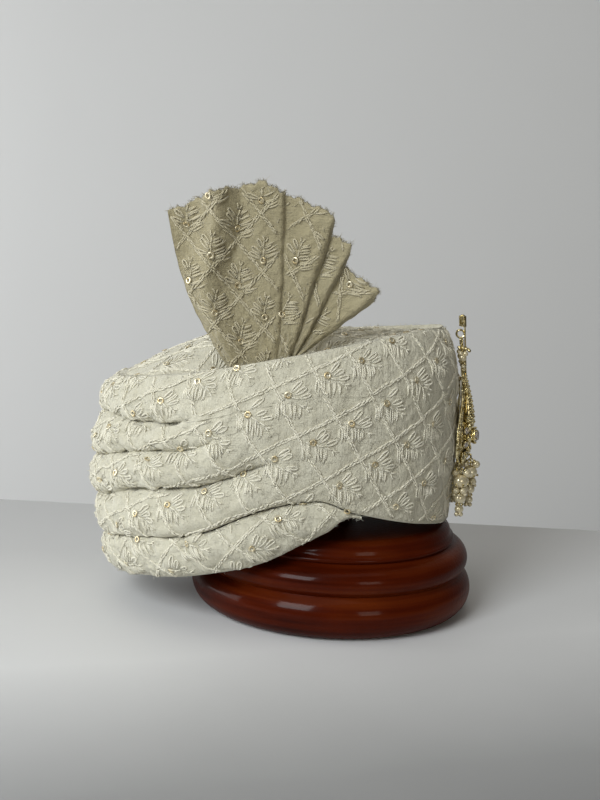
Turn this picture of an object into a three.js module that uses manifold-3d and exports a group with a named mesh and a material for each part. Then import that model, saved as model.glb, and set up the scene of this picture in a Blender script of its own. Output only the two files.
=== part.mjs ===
// A tied turban with a pleated fan and a pearl brooch, set on a turned wooden stand.
// Millimetres, +Z up. The origin is the middle of the stand's foot and +X is the turban's front.
import * as THREE from "three";
import Module from "manifold-3d";

const wasm = await Module();
wasm.setup();

const GAP = 0.4;
const { degToRad, lerp, clamp, smoothstep } = THREE.MathUtils;

// Materials
const COLOURS = {
  cloth: 0xe9e2cf,
  lacquer: 0x4a1a10,
  gold: 0xc9a24a,
  pearl: 0xf0e6d2,
  stone: 0xdfe8ea,
};

function mesh(name, geometry, slot) {
  const shine = slot === "gold" ? 1 : 0;
  const material = new THREE.MeshStandardMaterial({ color: COLOURS[slot], metalness: shine });
  material.name = slot;
  const piece = new THREE.Mesh(geometry, material);
  piece.name = name;
  return piece;
}

// Solids
function fromTriangles(points, faces) {
  let volume = 0;
  for (let i = 0; i < faces.length; i += 3) {
    const [a, b, c] = [points[faces[i]], points[faces[i + 1]], points[faces[i + 2]]];
    volume += a.dot(b.clone().cross(c));
  }
  const order = volume < 0 ? faces.slice().reverse() : faces;
  const geometry = new THREE.BufferGeometry().setFromPoints(points);
  geometry.setIndex(order);
  return geometry;
}

// A slab between two grids of points; a closed one runs round on itself.
function slab(front, back, closed = false) {
  const columns = front.length;
  const rows = front[0].length;
  const points = [...front.flat(), ...back.flat()];
  const under = columns * rows;
  const faces = [];
  const quad = (a, b, c, d) => faces.push(a, b, c, a, c, d);
  const last = closed ? columns : columns - 1;
  for (let i = 0; i < last; i += 1) {
    const here = i * rows;
    const next = ((i + 1) % columns) * rows;
    for (let j = 0; j < rows - 1; j += 1) {
      quad(here + j, next + j, next + j + 1, here + j + 1);
      quad(under + here + j + 1, under + next + j + 1, under + next + j, under + here + j);
    }
    const top = rows - 1;
    quad(here + top, next + top, under + next + top, under + here + top);
    quad(under + here, under + next, next, here);
  }
  if (!closed) {
    for (let j = 0; j < rows - 1; j += 1) {
      const end = last * rows + j;
      quad(j, j + 1, under + j + 1, under + j);
      quad(end + 1, end, under + end, under + end + 1);
    }
  }
  return fromTriangles(points, faces);
}

// A body lofted through rings of points; an open one is capped from the middle of its end rings.
function loft(rings, closed = false) {
  const size = rings[0].length;
  const points = rings.flat();
  const faces = [];
  const last = closed ? rings.length : rings.length - 1;
  for (let i = 0; i < last; i += 1) {
    const here = i * size;
    const next = ((i + 1) % rings.length) * size;
    for (let j = 0; j < size; j += 1) {
      const k = (j + 1) % size;
      faces.push(here + j, next + j, next + k, here + j, next + k, here + k);
    }
  }
  if (!closed) {
    const middle = (ring) => ring.reduce((sum, p) => sum.add(p), new THREE.Vector3()).divideScalar(size);
    const start = points.push(middle(rings[0])) - 1;
    const end = points.push(middle(rings[last])) - 1;
    for (let j = 0; j < size; j += 1) {
      const k = (j + 1) % size;
      faces.push(start, j, k, end, last * size + k, last * size + j);
    }
  }
  return fromTriangles(points, faces);
}

function toSolid(geometry) {
  const corners = new Map();
  const points = [];
  const place = geometry.attributes.position;
  const merged = [];
  for (let i = 0; i < place.count; i += 1) {
    const xyz = [place.getX(i), place.getY(i), place.getZ(i)];
    const key = xyz.map((v) => Math.round(v * 1e4)).join();
    if (!corners.has(key)) {
      corners.set(key, points.length / 3);
      points.push(...xyz);
    }
    merged.push(corners.get(key));
  }
  const order = geometry.index ? Array.from(geometry.index.array, (i) => merged[i]) : merged;
  const triVerts = [];
  for (let i = 0; i < order.length; i += 3) {
    const face = order.slice(i, i + 3);
    if (new Set(face).size === 3) triVerts.push(...face);
  }
  return new wasm.Manifold(new wasm.Mesh({
    numProp: 3,
    vertProperties: new Float32Array(points),
    triVerts: new Uint32Array(triVerts),
  }));
}

function fuse(geometries) {
  const whole = geometries.map(toSolid).reduce((sum, next) => sum.add(next));
  const { vertProperties, triVerts } = whole.getMesh();
  const geometry = new THREE.BufferGeometry();
  geometry.setAttribute("position", new THREE.BufferAttribute(new Float32Array(vertProperties), 3));
  geometry.setIndex(Array.from(triVerts));
  return geometry;
}

// Stand: each moulding is an arc about its own ring, from and to in degrees above straight out.
const STAND_SIDES = 36;
const STAND_TOP = 62.5;
const STAND_MOULDINGS = [
  { name: "foot", ring: 81.5, height: 16, bulge: 16, from: -90, to: 48, steps: 7 },
  { name: "belly", ring: 84.5, height: 37.2, bulge: 10, from: -50, to: 83, steps: 6 },
  { name: "fillet", ring: 82.6, height: 51, bulge: 1.8, from: -80, to: 80, steps: 2 },
  { name: "shoulder", ring: 73, height: STAND_TOP - 9, bulge: 9, from: 8, to: 90, steps: 3 },
];

function turned(profile, sides) {
  const geometry = new THREE.LatheGeometry(profile.map(([r, z]) => new THREE.Vector2(r, z)), sides);
  return geometry.rotateX(Math.PI / 2);
}

function standProfile() {
  const profile = [[0, 0]];
  for (const { ring, height, bulge, from, to, steps } of STAND_MOULDINGS) {
    for (let i = 0; i <= steps; i += 1) {
      const angle = degToRad(lerp(from, to, i / steps));
      profile.push([ring + bulge * Math.cos(angle), height + bulge * Math.sin(angle)]);
    }
  }
  profile.push([0, STAND_TOP]);
  return profile;
}

// Turban plan: two ovals, the outside of the rolls and the hollow for the head.
// A turn is measured in degrees from the back; the side seen in the photograph is positive.
const OUTSIDE = { middle: -45.5, length: 126.5, width: 105 };
const HOLLOW = { middle: -34.5, length: 101.5, width: 82.5 };
const ROLL_ENDS = 120;

// Heights by turn: the lower rim, the seam where the panel lies on the lowest roll, and the upper
// edge on the side seen in the photograph and on the far side.
const STATIONS = [
  { turn: 0, rim: 19, seam: 46, top: 154, farTop: 154 },
  { turn: 52, rim: 32, seam: 59.5, top: 164, farTop: 163 },
  { turn: 70, rim: 39.5, seam: 67.5, top: 170.9, farTop: 169.5 },
  { turn: 88, rim: 50, seam: 85, top: 179, farTop: 177 },
  { turn: 106, rim: 69, seam: 92.3, top: 186.5, farTop: 183 },
  { turn: 118, rim: 78.6, seam: 84.5, top: 191, farTop: 186 },
  { turn: 145, rim: 72, seam: 72, top: 197, farTop: 191.5 },
  { turn: 180, rim: 63.5, seam: 63.5, top: 197, farTop: 197 },
];

// The folds between the rolls: share of the panel's height at the back and where they open out.
const FOLDS = [
  { name: "lower", back: 0.262, open: 0.3, near: 96, far: 94, depth: 12 },
  { name: "middle", back: 0.477, open: 0.565, near: 79, far: 70, depth: 11 },
  { name: "upper", back: 0.785, open: 0.695, near: 70, far: 75, depth: 10.5 },
];
const SEAM_DEPTH = 10;
const HEM_DEPTH = 4;
const TOP_DEPTH = 11;
const LOBE_STEPS = 4;
const STATION = 6;

function oval({ middle, length, width }, turn) {
  const angle = degToRad(turn);
  return new THREE.Vector3(middle - length * Math.cos(angle), -width * Math.sin(angle), 0);
}

// A smooth curve through one column of the stations.
function through(rows, column) {
  const slope = (i) => {
    if (i === 0 || i === rows.length - 1) return 0;
    return (rows[i + 1][column] - rows[i - 1][column]) / (rows[i + 1].turn - rows[i - 1].turn);
  };
  return (turn) => {
    const at = Math.abs(turn);
    let i = 0;
    while (i < rows.length - 2 && at > rows[i + 1].turn) i += 1;
    const span = rows[i + 1].turn - rows[i].turn;
    const t = (at - rows[i].turn) / span;
    const rest = 1 - t;
    const start = rows[i][column] * (1 + 2 * t) + slope(i) * span * t;
    const end = rows[i + 1][column] * (1 + 2 * rest) - slope(i + 1) * span * rest;
    return start * rest * rest + end * t * t;
  };
}

const rimAt = through(STATIONS, "rim");
const seamAt = through(STATIONS, "seam");
const nearTopAt = through(STATIONS, "top");
const farTopAt = through(STATIONS, "farTop");
const topAt = (turn) => (turn < 0 ? farTopAt(turn) : nearTopAt(turn));
const frontShare = (turn) => (1 - Math.cos(degToRad(turn))) / 2;

// The barrel shape of the whole wrap: how far a height lies inside the widest line.
function barrel(turn, height) {
  const share = frontShare(turn);
  return lerp(0.002, 0.0006, share) * (height - lerp(80, 115, share)) ** 2;
}

function wallPoint(turn, inset, height) {
  const out = oval(OUTSIDE, turn);
  const inward = oval(HOLLOW, turn).sub(out);
  const wall = inward.length();
  return out.addScaledVector(inward.divideScalar(wall), Math.min(inset, wall)).setZ(height);
}

// How a round lobe leaves its crease, one at the crease and nothing at the far end.
const crease = (t) => 1 - Math.sqrt(1 - (1 - t) ** 2);

// The rounded face of one roll between a lower and an upper crease.
function lobe(turn, low, high, steps) {
  const points = [];
  for (let i = 0; i <= steps; i += 1) {
    const t = (1 - Math.cos((Math.PI * i) / steps)) / 2;
    const height = lerp(low.height, high.height, t ** (1 + 0.5 * low.strength));
    const groove = low.depth * crease(t) + high.depth * crease(1 - t);
    points.push(wallPoint(turn, barrel(turn, height) + groove, height));
  }
  return points;
}

function foldAt({ back, open, near, far, depth }, turn) {
  const share = clamp(Math.abs(turn) / (turn > 0 ? near : far), 0, 1);
  const strength = 1 - smoothstep(share, 0.65, 1);
  const height = lerp(seamAt(turn), topAt(turn), lerp(back, open, share));
  return { height, strength, depth: depth * strength };
}

function seamEdge(turn) {
  const strength = 1 - smoothstep(Math.abs(turn), 96, ROLL_ENDS);
  return { height: seamAt(turn), strength, depth: lerp(HEM_DEPTH, SEAM_DEPTH, strength) };
}

function wrapRing(turn) {
  const folds = FOLDS.map((fold) => foldAt(fold, turn));
  const edges = [seamEdge(turn), ...folds, { height: topAt(turn), strength: 0, depth: TOP_DEPTH }];
  const ring = edges.slice(1).flatMap((high, i) => lobe(turn, edges[i], high, LOBE_STEPS).slice(0, -1));
  const [floor, lip] = [seamAt(turn), topAt(turn)];
  ring.push(wallPoint(turn, barrel(turn, lip) + TOP_DEPTH, lip));
  for (const share of [1, 0.5, 0]) {
    ring.push(wallPoint(turn, Infinity, lerp(floor, lip - 1.5, share)));
  }
  return ring;
}

function lowerRing(turn) {
  const taper = smoothstep(Math.abs(turn), 96, ROLL_ENDS);
  const high = { height: seamAt(turn) - 2 * GAP, strength: 0, depth: lerp(SEAM_DEPTH, HEM_DEPTH, taper) };
  const low = { height: rimAt(turn), strength: 0, depth: lerp(11, HEM_DEPTH, taper) };
  const ring = lobe(turn, low, high, 7);
  ring.push(wallPoint(turn, Infinity, high.height));
  ring.push(wallPoint(turn, Infinity, lerp(low.height, high.height, 0.12)));
  return ring;
}

// Crown: a soft dome inside the wrap, pressed down on one side where the fan's root is tucked in.
const CROWN = { apex: new THREE.Vector3(-62, 0, 190), sunk: 9, thick: 2.5, steps: 5, stations: 32 };
const FAN_POCKET = { turn: 88, spread: 34, dip: 30 };

function crownPoint(turn, share, drop) {
  const beside = (turn - FAN_POCKET.turn) / FAN_POCKET.spread;
  const dip = FAN_POCKET.dip * Math.exp(-beside * beside) * smoothstep(share, 0.42, 0.8);
  const edge = oval({ ...HOLLOW, length: HOLLOW.length - GAP, width: HOLLOW.width - GAP }, turn);
  const height = lerp(CROWN.apex.z, topAt(turn) - CROWN.sunk, share * share) - dip - drop;
  return CROWN.apex.clone().lerp(edge, share).setZ(height);
}

function crownGrid(drop) {
  const columns = [];
  for (let i = 0; i < CROWN.stations; i += 1) {
    const turn = (360 * i) / CROWN.stations - 180;
    const row = [];
    for (let j = 0; j <= CROWN.steps; j += 1) row.push(crownPoint(turn, j / CROWN.steps, drop));
    columns.push(row);
  }
  return columns;
}

// Post: hidden inside the hollow, with a round pad just under the crown.
const POST = { radius: 11, pad: 26, padThick: 9 };

function postProfile() {
  const top = crownPoint(180, 0.62, CROWN.thick + 4).z - 2;
  const [foot, under] = [STAND_TOP + GAP, top - POST.padThick];
  return [[0, foot], [POST.radius, foot], [POST.radius, under - 8], [POST.pad, under],
    [POST.pad, top - 4], [POST.pad - 6, top], [0, top]];
}

// Fan: one pleated cloth; each fold line leaves the root row and stands at its own depth. The whole
// fan leans outward over the edge of the wrap.
const FAN = { depth: -73, lean: 23, thick: 2.4, rows: 7 };
const FAN_FOLDS = [
  { name: "back hem", root: -68, up: 166, angle: 113, reach: 108.5, depth: 12, bow: -8, steps: 2 },
  { name: "back crest", root: -65, up: 166, angle: 105, reach: 112, depth: -3, bow: -7, steps: 2 },
  { name: "soft valley", root: -57.5, up: 166, angle: 100.4, reach: 116.7, depth: 14, bow: -4, steps: 3 },
  { name: "first crest", root: -49, up: 167, angle: 91.4, reach: 119.8, depth: 5, bow: 0, steps: 2 },
  { name: "first ridge", root: -42, up: 168, angle: 89.6, reach: 113.5, depth: 4, bow: 1, steps: 1 },
  { name: "first return", root: -40.5, up: 169, angle: 89.4, reach: 110.5, depth: 14, bow: 1, steps: 3 },
  { name: "second ridge", root: -36, up: 170, angle: 74.8, reach: 103.7, depth: 9, bow: 0, steps: 1 },
  { name: "second return", root: -34, up: 172, angle: 74.4, reach: 87.2, depth: 18, bow: 0, steps: 2 },
  { name: "third ridge", root: -31.5, up: 175, angle: 65.9, reach: 84.4, depth: 14, bow: 0, steps: 1 },
  { name: "third return", root: -30, up: 177, angle: 64.3, reach: 65.5, depth: 23, bow: 0, steps: 3 },
  { name: "front ridge", root: -28.5, up: 179, angle: 42.5, reach: 67.5, depth: 18, bow: 0, steps: 1 },
  { name: "front hem", root: -27, up: 179, angle: 40.2, reach: 58.5, depth: 25, bow: 0, steps: 0 },
];

function foldLine({ root, up, angle, reach, depth, bow }, share) {
  const direction = degToRad(angle);
  const aside = bow * Math.sin(Math.PI * share);
  return new THREE.Vector3(
    root + share * reach * Math.cos(direction) + aside,
    FAN.depth + depth * lerp(0.25, 1, share) - FAN.lean * share ** 1.3,
    up + share * reach * Math.sin(direction),
  );
}

function fanGrid(offset) {
  const columns = [];
  FAN_FOLDS.forEach((fold, i) => {
    const next = FAN_FOLDS[i + 1] ?? fold;
    for (let step = 0; step < Math.max(fold.steps, 1); step += 1) {
      const column = [];
      for (let j = 0; j <= FAN.rows; j += 1) {
        const share = j / FAN.rows;
        const point = foldLine(fold, share).lerp(foldLine(next, share), step / Math.max(fold.steps, 1));
        point.y += offset;
        column.push(point);
      }
      columns.push(column);
    }
  });
  return columns;
}

// Brooch: drawn flat as across, up and out, then laid on the curve of the turban's front.
const FRONT = OUTSIDE.middle + OUTSIDE.length;
const FRONT_CURVE = OUTSIDE.length / (2 * OUTSIDE.width ** 2);
const LEAN = { from: 150, slope: 0.085 };
const PLATE = { out: 2.6, thick: 1.4 };
const PLATE_FACE = PLATE.out + PLATE.thick;
const STEM = { half: 2, foot: 172, top: 189 };
const GAPS = { count: 10, across: 18, up: 17.5, wide: 2, long: 2.9 };
const BOSS = { height: 122, radius: 13, waist: 9, top: 5.5, rise: 7.5 };
const PETALS = { count: 8, ring: 8.6, long: 5.4, wide: 3.4, thick: 2.6, tilt: -0.35, up: 4 };
// The raised leaf that climbs from the stem to the boss: ellipses across the leaf, by height.
const LEAF = [
  { up: 169, out: 3.9, wide: 1.2, deep: 0.9 },
  { up: 152, out: 6, wide: 5.5, deep: 2.6 },
  { up: 138, out: 7.6, wide: 7.8, deep: 4.2 },
  { up: 129, out: 8.2, wide: 8, deep: 4.6 },
];
const LEAF_SIDES = 10;
const STONE = { seat: 3.8, girdle: 5.2, table: 3.2, rise: 4.4, sides: 10 };
const BAIL = { radius: 2.7, wire: 0.8, out: 2.8 };
const STRIP = { wide: 3, out: 5.9, thick: 1.3, low: 160, high: 204 };
const FINIAL = { wide: 3.6, out: 4.5, thick: 5, low: 197, high: 204.4 };
const PIN = { radius: 0.7, out: 1.3, low: 118, high: 162 };
const LOOP = { radius: 1.6, wire: 0.55 };
const JUMP_RING = { radius: 1.8, wire: 0.5, hang: 2.05 };
// Three pearls on each side of the stem, held together by a rod between the stem and the strip.
const PEARL_FLOWER = [
  { across: 5.1, up: 176, out: 3.6, radius: 2.7 },
  { across: 4.9, up: 178.8, out: 5.7, radius: 1.8 },
  { across: 6.5, up: 178.8, out: 2.5, radius: 1.8 },
];
const FLOWER_ROD = { radius: 0.35, out: 4.6 };

// One half of the plate's outline, from the stem down to the tip.
const PLATE_CURVES = [
  { name: "neck", leave: [3, 170], arrive: [4, 160], end: [10, 150] },
  { name: "shoulder", leave: [20, 138], arrive: [28, 130], end: [27, 118] },
  { name: "side lobe", leave: [26, 106], arrive: [18, 103], end: [12, 104] },
  { name: "tip", leave: [8, 105], arrive: [6, 100], end: [0, 99] },
];

// Pearl drops: each hangs by a ring from a loop of the frame.
const DROPS = [
  { name: "drop_near", across: -20, up: 103.6, loop: 3.3, pearls: 6.4 },
  { name: "drop_middle", across: 0, up: 106, loop: 12, pearls: 12 },
  { name: "drop_far", across: 20, up: 103.6, loop: 3.3, pearls: 6.4 },
];
const DROP_WIRE = { radius: 1.3, length: 30, below: 19.6 };
const PEARL_ROWS = [
  { name: "shoulder", below: 5, count: 2, spread: 3.2, radius: 2.4, rings: 4 },
  { name: "large", below: 9.8, count: 1, spread: 0, radius: 4.6, rings: 5 },
  { name: "waist", below: 14.6, count: 4, spread: 3, radius: 1.9, rings: 3 },
  { name: "middle", below: 22, count: 1, spread: 0, radius: 3.3, rings: 5 },
  { name: "end", below: 29, count: 1, spread: 0, radius: 2.6, rings: 5 },
  { name: "tip", below: 31.9, count: 2, spread: 1.2, radius: 1.4, rings: 3 },
];

function laidOnFront(geometry) {
  const place = geometry.attributes.position;
  for (let i = 0; i < place.count; i += 1) {
    const [across, up, out] = [place.getX(i), place.getY(i), place.getZ(i)];
    const lean = LEAN.slope * Math.max(up - LEAN.from, 0);
    place.setXYZ(i, FRONT + out - lean - FRONT_CURVE * across * across, across, up);
  }
  return geometry;
}

function ball(radius, rings = 4) {
  return new THREE.SphereGeometry(radius, 8, rings).rotateX(Math.PI / 2);
}

function ringUpright({ radius, wire }) {
  return new THREE.TorusGeometry(radius, wire, 5, 12).rotateY(Math.PI / 2);
}

function plateShape() {
  const shape = new THREE.Shape().moveTo(-STEM.half, STEM.top).lineTo(STEM.half, STEM.top);
  const corners = [[STEM.half, STEM.foot], ...PLATE_CURVES.map(({ end }) => end)];
  shape.lineTo(...corners[0]);
  for (const { leave, arrive, end } of PLATE_CURVES) shape.bezierCurveTo(...leave, ...arrive, ...end);
  PLATE_CURVES.map(({ leave, arrive }, i) => [arrive, leave, corners[i]]).reverse().forEach((curve) => {
    shape.bezierCurveTo(...curve.flatMap(([across, up]) => [-across, up]));
  });
  for (let i = 0; i < GAPS.count; i += 1) {
    const angle = Math.PI / 2 + (2 * Math.PI * i) / GAPS.count;
    const [across, up] = [GAPS.across * Math.cos(angle), BOSS.height + GAPS.up * Math.sin(angle)];
    const gap = new THREE.Path().absellipse(across, up, GAPS.wide, GAPS.long, 0, 2 * Math.PI, false, angle);
    shape.holes.push(gap);
  }
  shape.holes.push(new THREE.Path().absellipse(0, 151, 1.8, 5, 0, 2 * Math.PI, false, 0));
  return shape;
}

function bossPieces() {
  const profile = [[0, -1], [BOSS.radius, -1], [BOSS.radius, 1], [BOSS.waist, 5], [BOSS.top, BOSS.rise]];
  const dome = turned([...profile, [0, BOSS.rise]], 16);
  const pieces = [dome];
  for (let i = 0; i < PETALS.count; i += 1) {
    const petal = ball(1).scale(PETALS.long, PETALS.wide, PETALS.thick).rotateY(PETALS.tilt);
    pieces.push(petal.translate(PETALS.ring, 0, PETALS.up).rotateZ((2 * Math.PI * i) / PETALS.count));
  }
  return pieces.map((piece) => piece.translate(0, BOSS.height, PLATE_FACE));
}

function leafSolid() {
  return loft(LEAF.map(({ up, out, wide, deep }) => Array.from({ length: LEAF_SIDES }, (_, i) => {
    const angle = (2 * Math.PI * i) / LEAF_SIDES;
    return new THREE.Vector3(wide * Math.cos(angle), up, out + deep * Math.sin(angle));
  })));
}

function frameSolid() {
  const options = { depth: PLATE.thick, bevelEnabled: false, curveSegments: 4 };
  const plate = new THREE.ExtrudeGeometry(plateShape(), options).translate(0, 0, PLATE.out);
  const bail = ringUpright(BAIL).translate(0, STEM.top + BAIL.radius, BAIL.out);
  const [strip, finial] = [STRIP, FINIAL].map(({ wide, out, thick, low, high }) => (
    new THREE.BoxGeometry(wide, high - low, thick, 1, 4, 1).translate(0, (low + high) / 2, out)
  ));
  const pin = new THREE.CylinderGeometry(PIN.radius, PIN.radius, PIN.high - PIN.low, 6);
  const posts = [PIN.low + 1, PIN.high - 1].map((up) => (
    new THREE.BoxGeometry(2.4, 2.4, 2).translate(0, up, 2)
  ));
  const arm = new THREE.BoxGeometry(2, 3, 7).translate(0, 109.2, 9.3);
  const loops = DROPS.map(({ across, up, loop }) => (
    new THREE.TorusGeometry(LOOP.radius, LOOP.wire, 5, 10).translate(across, up, loop)
  ));
  pin.translate(0, (PIN.low + PIN.high) / 2, PIN.out);
  const upper = [leafSolid(), strip, finial, bail];
  return laidOnFront(fuse([plate, ...bossPieces(), ...upper, pin, ...posts, arm, ...loops]));
}

function stoneSolid() {
  const { seat, girdle, table, rise, sides } = STONE;
  const cut = turned([[0, 0], [seat, 0], [girdle, rise * 0.36], [table, rise], [0, rise]], sides);
  return laidOnFront(cut.translate(0, BOSS.height, PLATE_FACE + BOSS.rise + GAP));
}

function pearlFlowerSolid() {
  const [{ across: reach, up: height }] = PEARL_FLOWER;
  const rod = new THREE.CylinderGeometry(FLOWER_ROD.radius, FLOWER_ROD.radius, 2 * reach, 6);
  const pieces = [rod.rotateZ(Math.PI / 2).translate(0, height, FLOWER_ROD.out)];
  for (const { across, up, out, radius } of PEARL_FLOWER) {
    for (const side of [-1, 1]) pieces.push(ball(radius).translate(side * across, up, out));
  }
  return laidOnFront(fuse(pieces));
}

function dropSolid({ across, up, loop, pearls }) {
  const wire = new THREE.CylinderGeometry(DROP_WIRE.radius, DROP_WIRE.radius, DROP_WIRE.length, 6);
  wire.translate(across, up - DROP_WIRE.below, (loop + pearls) / 2);
  const pieces = [ringUpright(JUMP_RING).translate(across, up - JUMP_RING.hang, loop), wire];
  for (const { below, count, spread, radius, rings } of PEARL_ROWS) {
    for (let i = 0; i < count; i += 1) {
      const angle = (2 * Math.PI * (i + 0.5)) / count;
      const [aside, forward] = [spread * Math.cos(angle), spread * Math.sin(angle)];
      pieces.push(ball(radius, rings).translate(across + aside, up - below, pearls + forward));
    }
  }
  return laidOnFront(fuse(pieces));
}

// Assembly
const turns = (from, to) => Array.from({ length: 1 + (to - from) / STATION }, (_, i) => from + i * STATION);
const turban = new THREE.Group();
turban.name = "turban_on_stand";
turban.add(
  mesh("stand", turned(standProfile(), STAND_SIDES), "lacquer"),
  mesh("stand_post", turned(postProfile(), 16), "lacquer"),
  mesh("wrap", loft(turns(-180 + STATION, 180).map(wrapRing), true), "cloth"),
  mesh("lower_roll", loft(turns(-ROLL_ENDS, ROLL_ENDS).map(lowerRing)), "cloth"),
  mesh("crown", slab(crownGrid(0), crownGrid(CROWN.thick), true), "cloth"),
  mesh("turra_fan", slab(fanGrid(-FAN.thick / 2), fanGrid(FAN.thick / 2)), "cloth"),
  mesh("brooch_frame", frameSolid(), "gold"),
  mesh("brooch_stone", stoneSolid(), "stone"),
  mesh("pearl_flower", pearlFlowerSolid(), "pearl"),
  ...DROPS.map((drop) => mesh(drop.name, dropSolid(drop), "pearl")),
);

export default turban;
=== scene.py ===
# %% [markdown]
# # A tied turban on a turned stand
# A long strip of embroidered ivory cloth is wound into rolls at the back and a smooth panel at the
# front. A pleated fan stands up from its crown, a pearl brooch hangs on its front, and all of it sits
# on a lacquered stand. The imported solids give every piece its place, so they are loaded first.

# %% Load the frame
import math
from functools import partial

import bmesh
import bpy
import numpy as np
from mathutils import Matrix, Vector
from mathutils.bvhtree import BVHTree


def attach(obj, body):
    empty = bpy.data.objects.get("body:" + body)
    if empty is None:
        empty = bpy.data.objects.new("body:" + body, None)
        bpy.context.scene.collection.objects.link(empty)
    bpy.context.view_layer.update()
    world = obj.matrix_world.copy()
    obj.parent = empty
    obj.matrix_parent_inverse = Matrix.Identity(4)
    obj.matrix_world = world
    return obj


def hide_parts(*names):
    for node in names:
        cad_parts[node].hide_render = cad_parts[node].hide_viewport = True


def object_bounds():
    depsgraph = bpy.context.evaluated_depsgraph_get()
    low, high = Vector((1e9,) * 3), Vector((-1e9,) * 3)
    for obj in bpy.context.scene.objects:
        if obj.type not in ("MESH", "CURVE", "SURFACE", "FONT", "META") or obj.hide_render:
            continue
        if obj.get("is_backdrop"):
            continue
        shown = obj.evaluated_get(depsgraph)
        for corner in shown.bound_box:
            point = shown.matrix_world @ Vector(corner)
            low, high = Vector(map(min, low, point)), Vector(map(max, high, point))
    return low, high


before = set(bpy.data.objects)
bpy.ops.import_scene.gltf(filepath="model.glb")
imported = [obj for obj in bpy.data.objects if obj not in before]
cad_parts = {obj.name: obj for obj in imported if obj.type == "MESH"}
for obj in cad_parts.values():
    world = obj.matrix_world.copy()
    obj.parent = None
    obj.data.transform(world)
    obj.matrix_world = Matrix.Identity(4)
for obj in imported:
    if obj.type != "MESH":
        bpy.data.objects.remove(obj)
cad_box = [[float(v) for v in corner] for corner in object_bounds()]
MM = 0.001
print("solids to dress:", ", ".join(sorted(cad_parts)))

# %% [markdown]
# The camera comes next. It stands in front of the near side
# at 850 mm, looks down nine degrees and leans a little. Its axes are worked out from those angles and
# written straight into the camera's matrix.

# %% Camera
CAMERA_AT = Vector((0, -0.850, 0.2756))
CAMERA_TURN = {"down": math.radians(9.027), "lean": math.radians(2.58), "aside": math.radians(-1.83)}
FOCAL_PIXELS, FRAME_PIXELS, SENSOR = 1245, 800, 36


def camera_axes(down, lean, aside):
    level_right = Vector((math.cos(aside), -math.sin(aside), 0))
    ahead = Vector((math.sin(aside), math.cos(aside), 0))
    upright = ahead * math.sin(down) + Vector((0, 0, math.cos(down)))
    forward = ahead * math.cos(down) - Vector((0, 0, math.sin(down)))
    right = level_right * math.cos(lean) + upright * math.sin(lean)
    return right, right.cross(forward), -forward


camera = bpy.data.objects.new("camera", bpy.data.cameras.new("camera"))
camera.data.sensor_width = SENSOR
camera.data.lens = SENSOR * FOCAL_PIXELS / FRAME_PIXELS
camera.data.clip_start = 0.01
camera_turn = Matrix(camera_axes(**CAMERA_TURN)).transposed().to_4x4()
camera.matrix_world = Matrix.Translation(CAMERA_AT) @ camera_turn
bpy.context.collection.objects.link(camera)
bpy.context.scene.camera = camera
print(f"camera with a {camera.data.lens:.1f} mm lens")

# %% [markdown]
# Every finish is a small graph of shader nodes. A Wire is one socket that can be added, multiplied or
# subtracted like a number, so that a pattern reads as a sum instead of a list of links. A Finish
# is one material, and its node method makes any other node: settings first, then its sockets.

# %% Shader arithmetic
class Wire:
    def __init__(self, finish, socket):
        self.finish, self.socket = finish, socket

    def math(self, operation, *terms):
        return self.finish.node("ShaderNodeMath", {"operation": operation}, dict(enumerate(terms)))

    def __add__(self, other):
        return self.math("ADD", self, other)

    def __radd__(self, other):
        return self.math("ADD", other, self)

    def __sub__(self, other):
        return self.math("SUBTRACT", self, other)

    def __rsub__(self, other):
        return self.math("SUBTRACT", other, self)

    def __mul__(self, other):
        return self.math("MULTIPLY", self, other)

    def __rmul__(self, other):
        return self.math("MULTIPLY", other, self)

    def sine(self):
        return self.math("SINE", self)


class Finish:
    def __init__(self, name, **constants):
        self.material = bpy.data.materials.new(name)
        self.material.use_nodes = True
        self.nodes, self.links = self.material.node_tree.nodes, self.material.node_tree.links
        self.shader = self.nodes["Principled BSDF"]
        self.surface(**constants)

    def feed(self, socket, value):
        if isinstance(value, Wire):
            self.links.new(value.socket, socket)
        elif hasattr(socket.default_value, "__len__") and len(value) < len(socket.default_value):
            socket.default_value = (*value, 1)
        else:
            socket.default_value = value

    def node(self, kind, settings=None, sockets=None, out=0):
        made = self.nodes.new(kind)
        for key, value in (settings or {}).items():
            setattr(made, key, value)
        for key, value in (sockets or {}).items():
            self.feed(made.inputs[key], value)
        return Wire(self, made.outputs[out])

    def surface(self, **values):
        for name, value in values.items():
            label = name.replace("_", " ").title().replace("Ior", "IOR")
            self.feed(self.shader.inputs[label], value)

    def place(self, scale, source="Object"):
        where = self.node("ShaderNodeTexCoord", out=["Generated", "Normal", "UV", "Object"].index(source))
        return self.node("ShaderNodeMapping", {}, {"Vector": where, "Scale": scale})

    def cloth_ways(self, scale):
        """The two distances of the cloth's map, each stretched by its scale."""
        spot = self.place(scale, "UV")
        return [self.node("ShaderNodeSeparateXYZ", {}, {0: spot}, out=way) for way in (0, 1)]

    def cloud(self, scale, detail=3.0, source="Object"):
        sockets = {"Vector": self.place(scale, source), "Scale": 1.0, "Detail": detail}
        return self.node("ShaderNodeTexNoise", {}, sockets)

    def ramp(self, value, *stops):
        colour = self.node("ShaderNodeValToRGB", {}, {"Fac": value})
        elements = colour.socket.node.color_ramp.elements
        while len(elements) < len(stops):
            elements.new(1.0)
        for element, (place, shade) in zip(elements, stops):
            element.position, element.color = place, (*shade, 1)
        return colour

    def relief(self, height, depth):
        return self.node("ShaderNodeBump", {}, {"Height": height, "Distance": depth, "Strength": 1.0})


print("shader helpers ready")

# %% [markdown]
# The stand is stained wood under a clear lacquer. On turned wood the grain shows as streaks that
# run round the moulding, so the noise is squeezed hard along the height. The clear coat is set on the
# shader itself, and only the stain's colour and a slight orange peel change over the surface.

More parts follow.
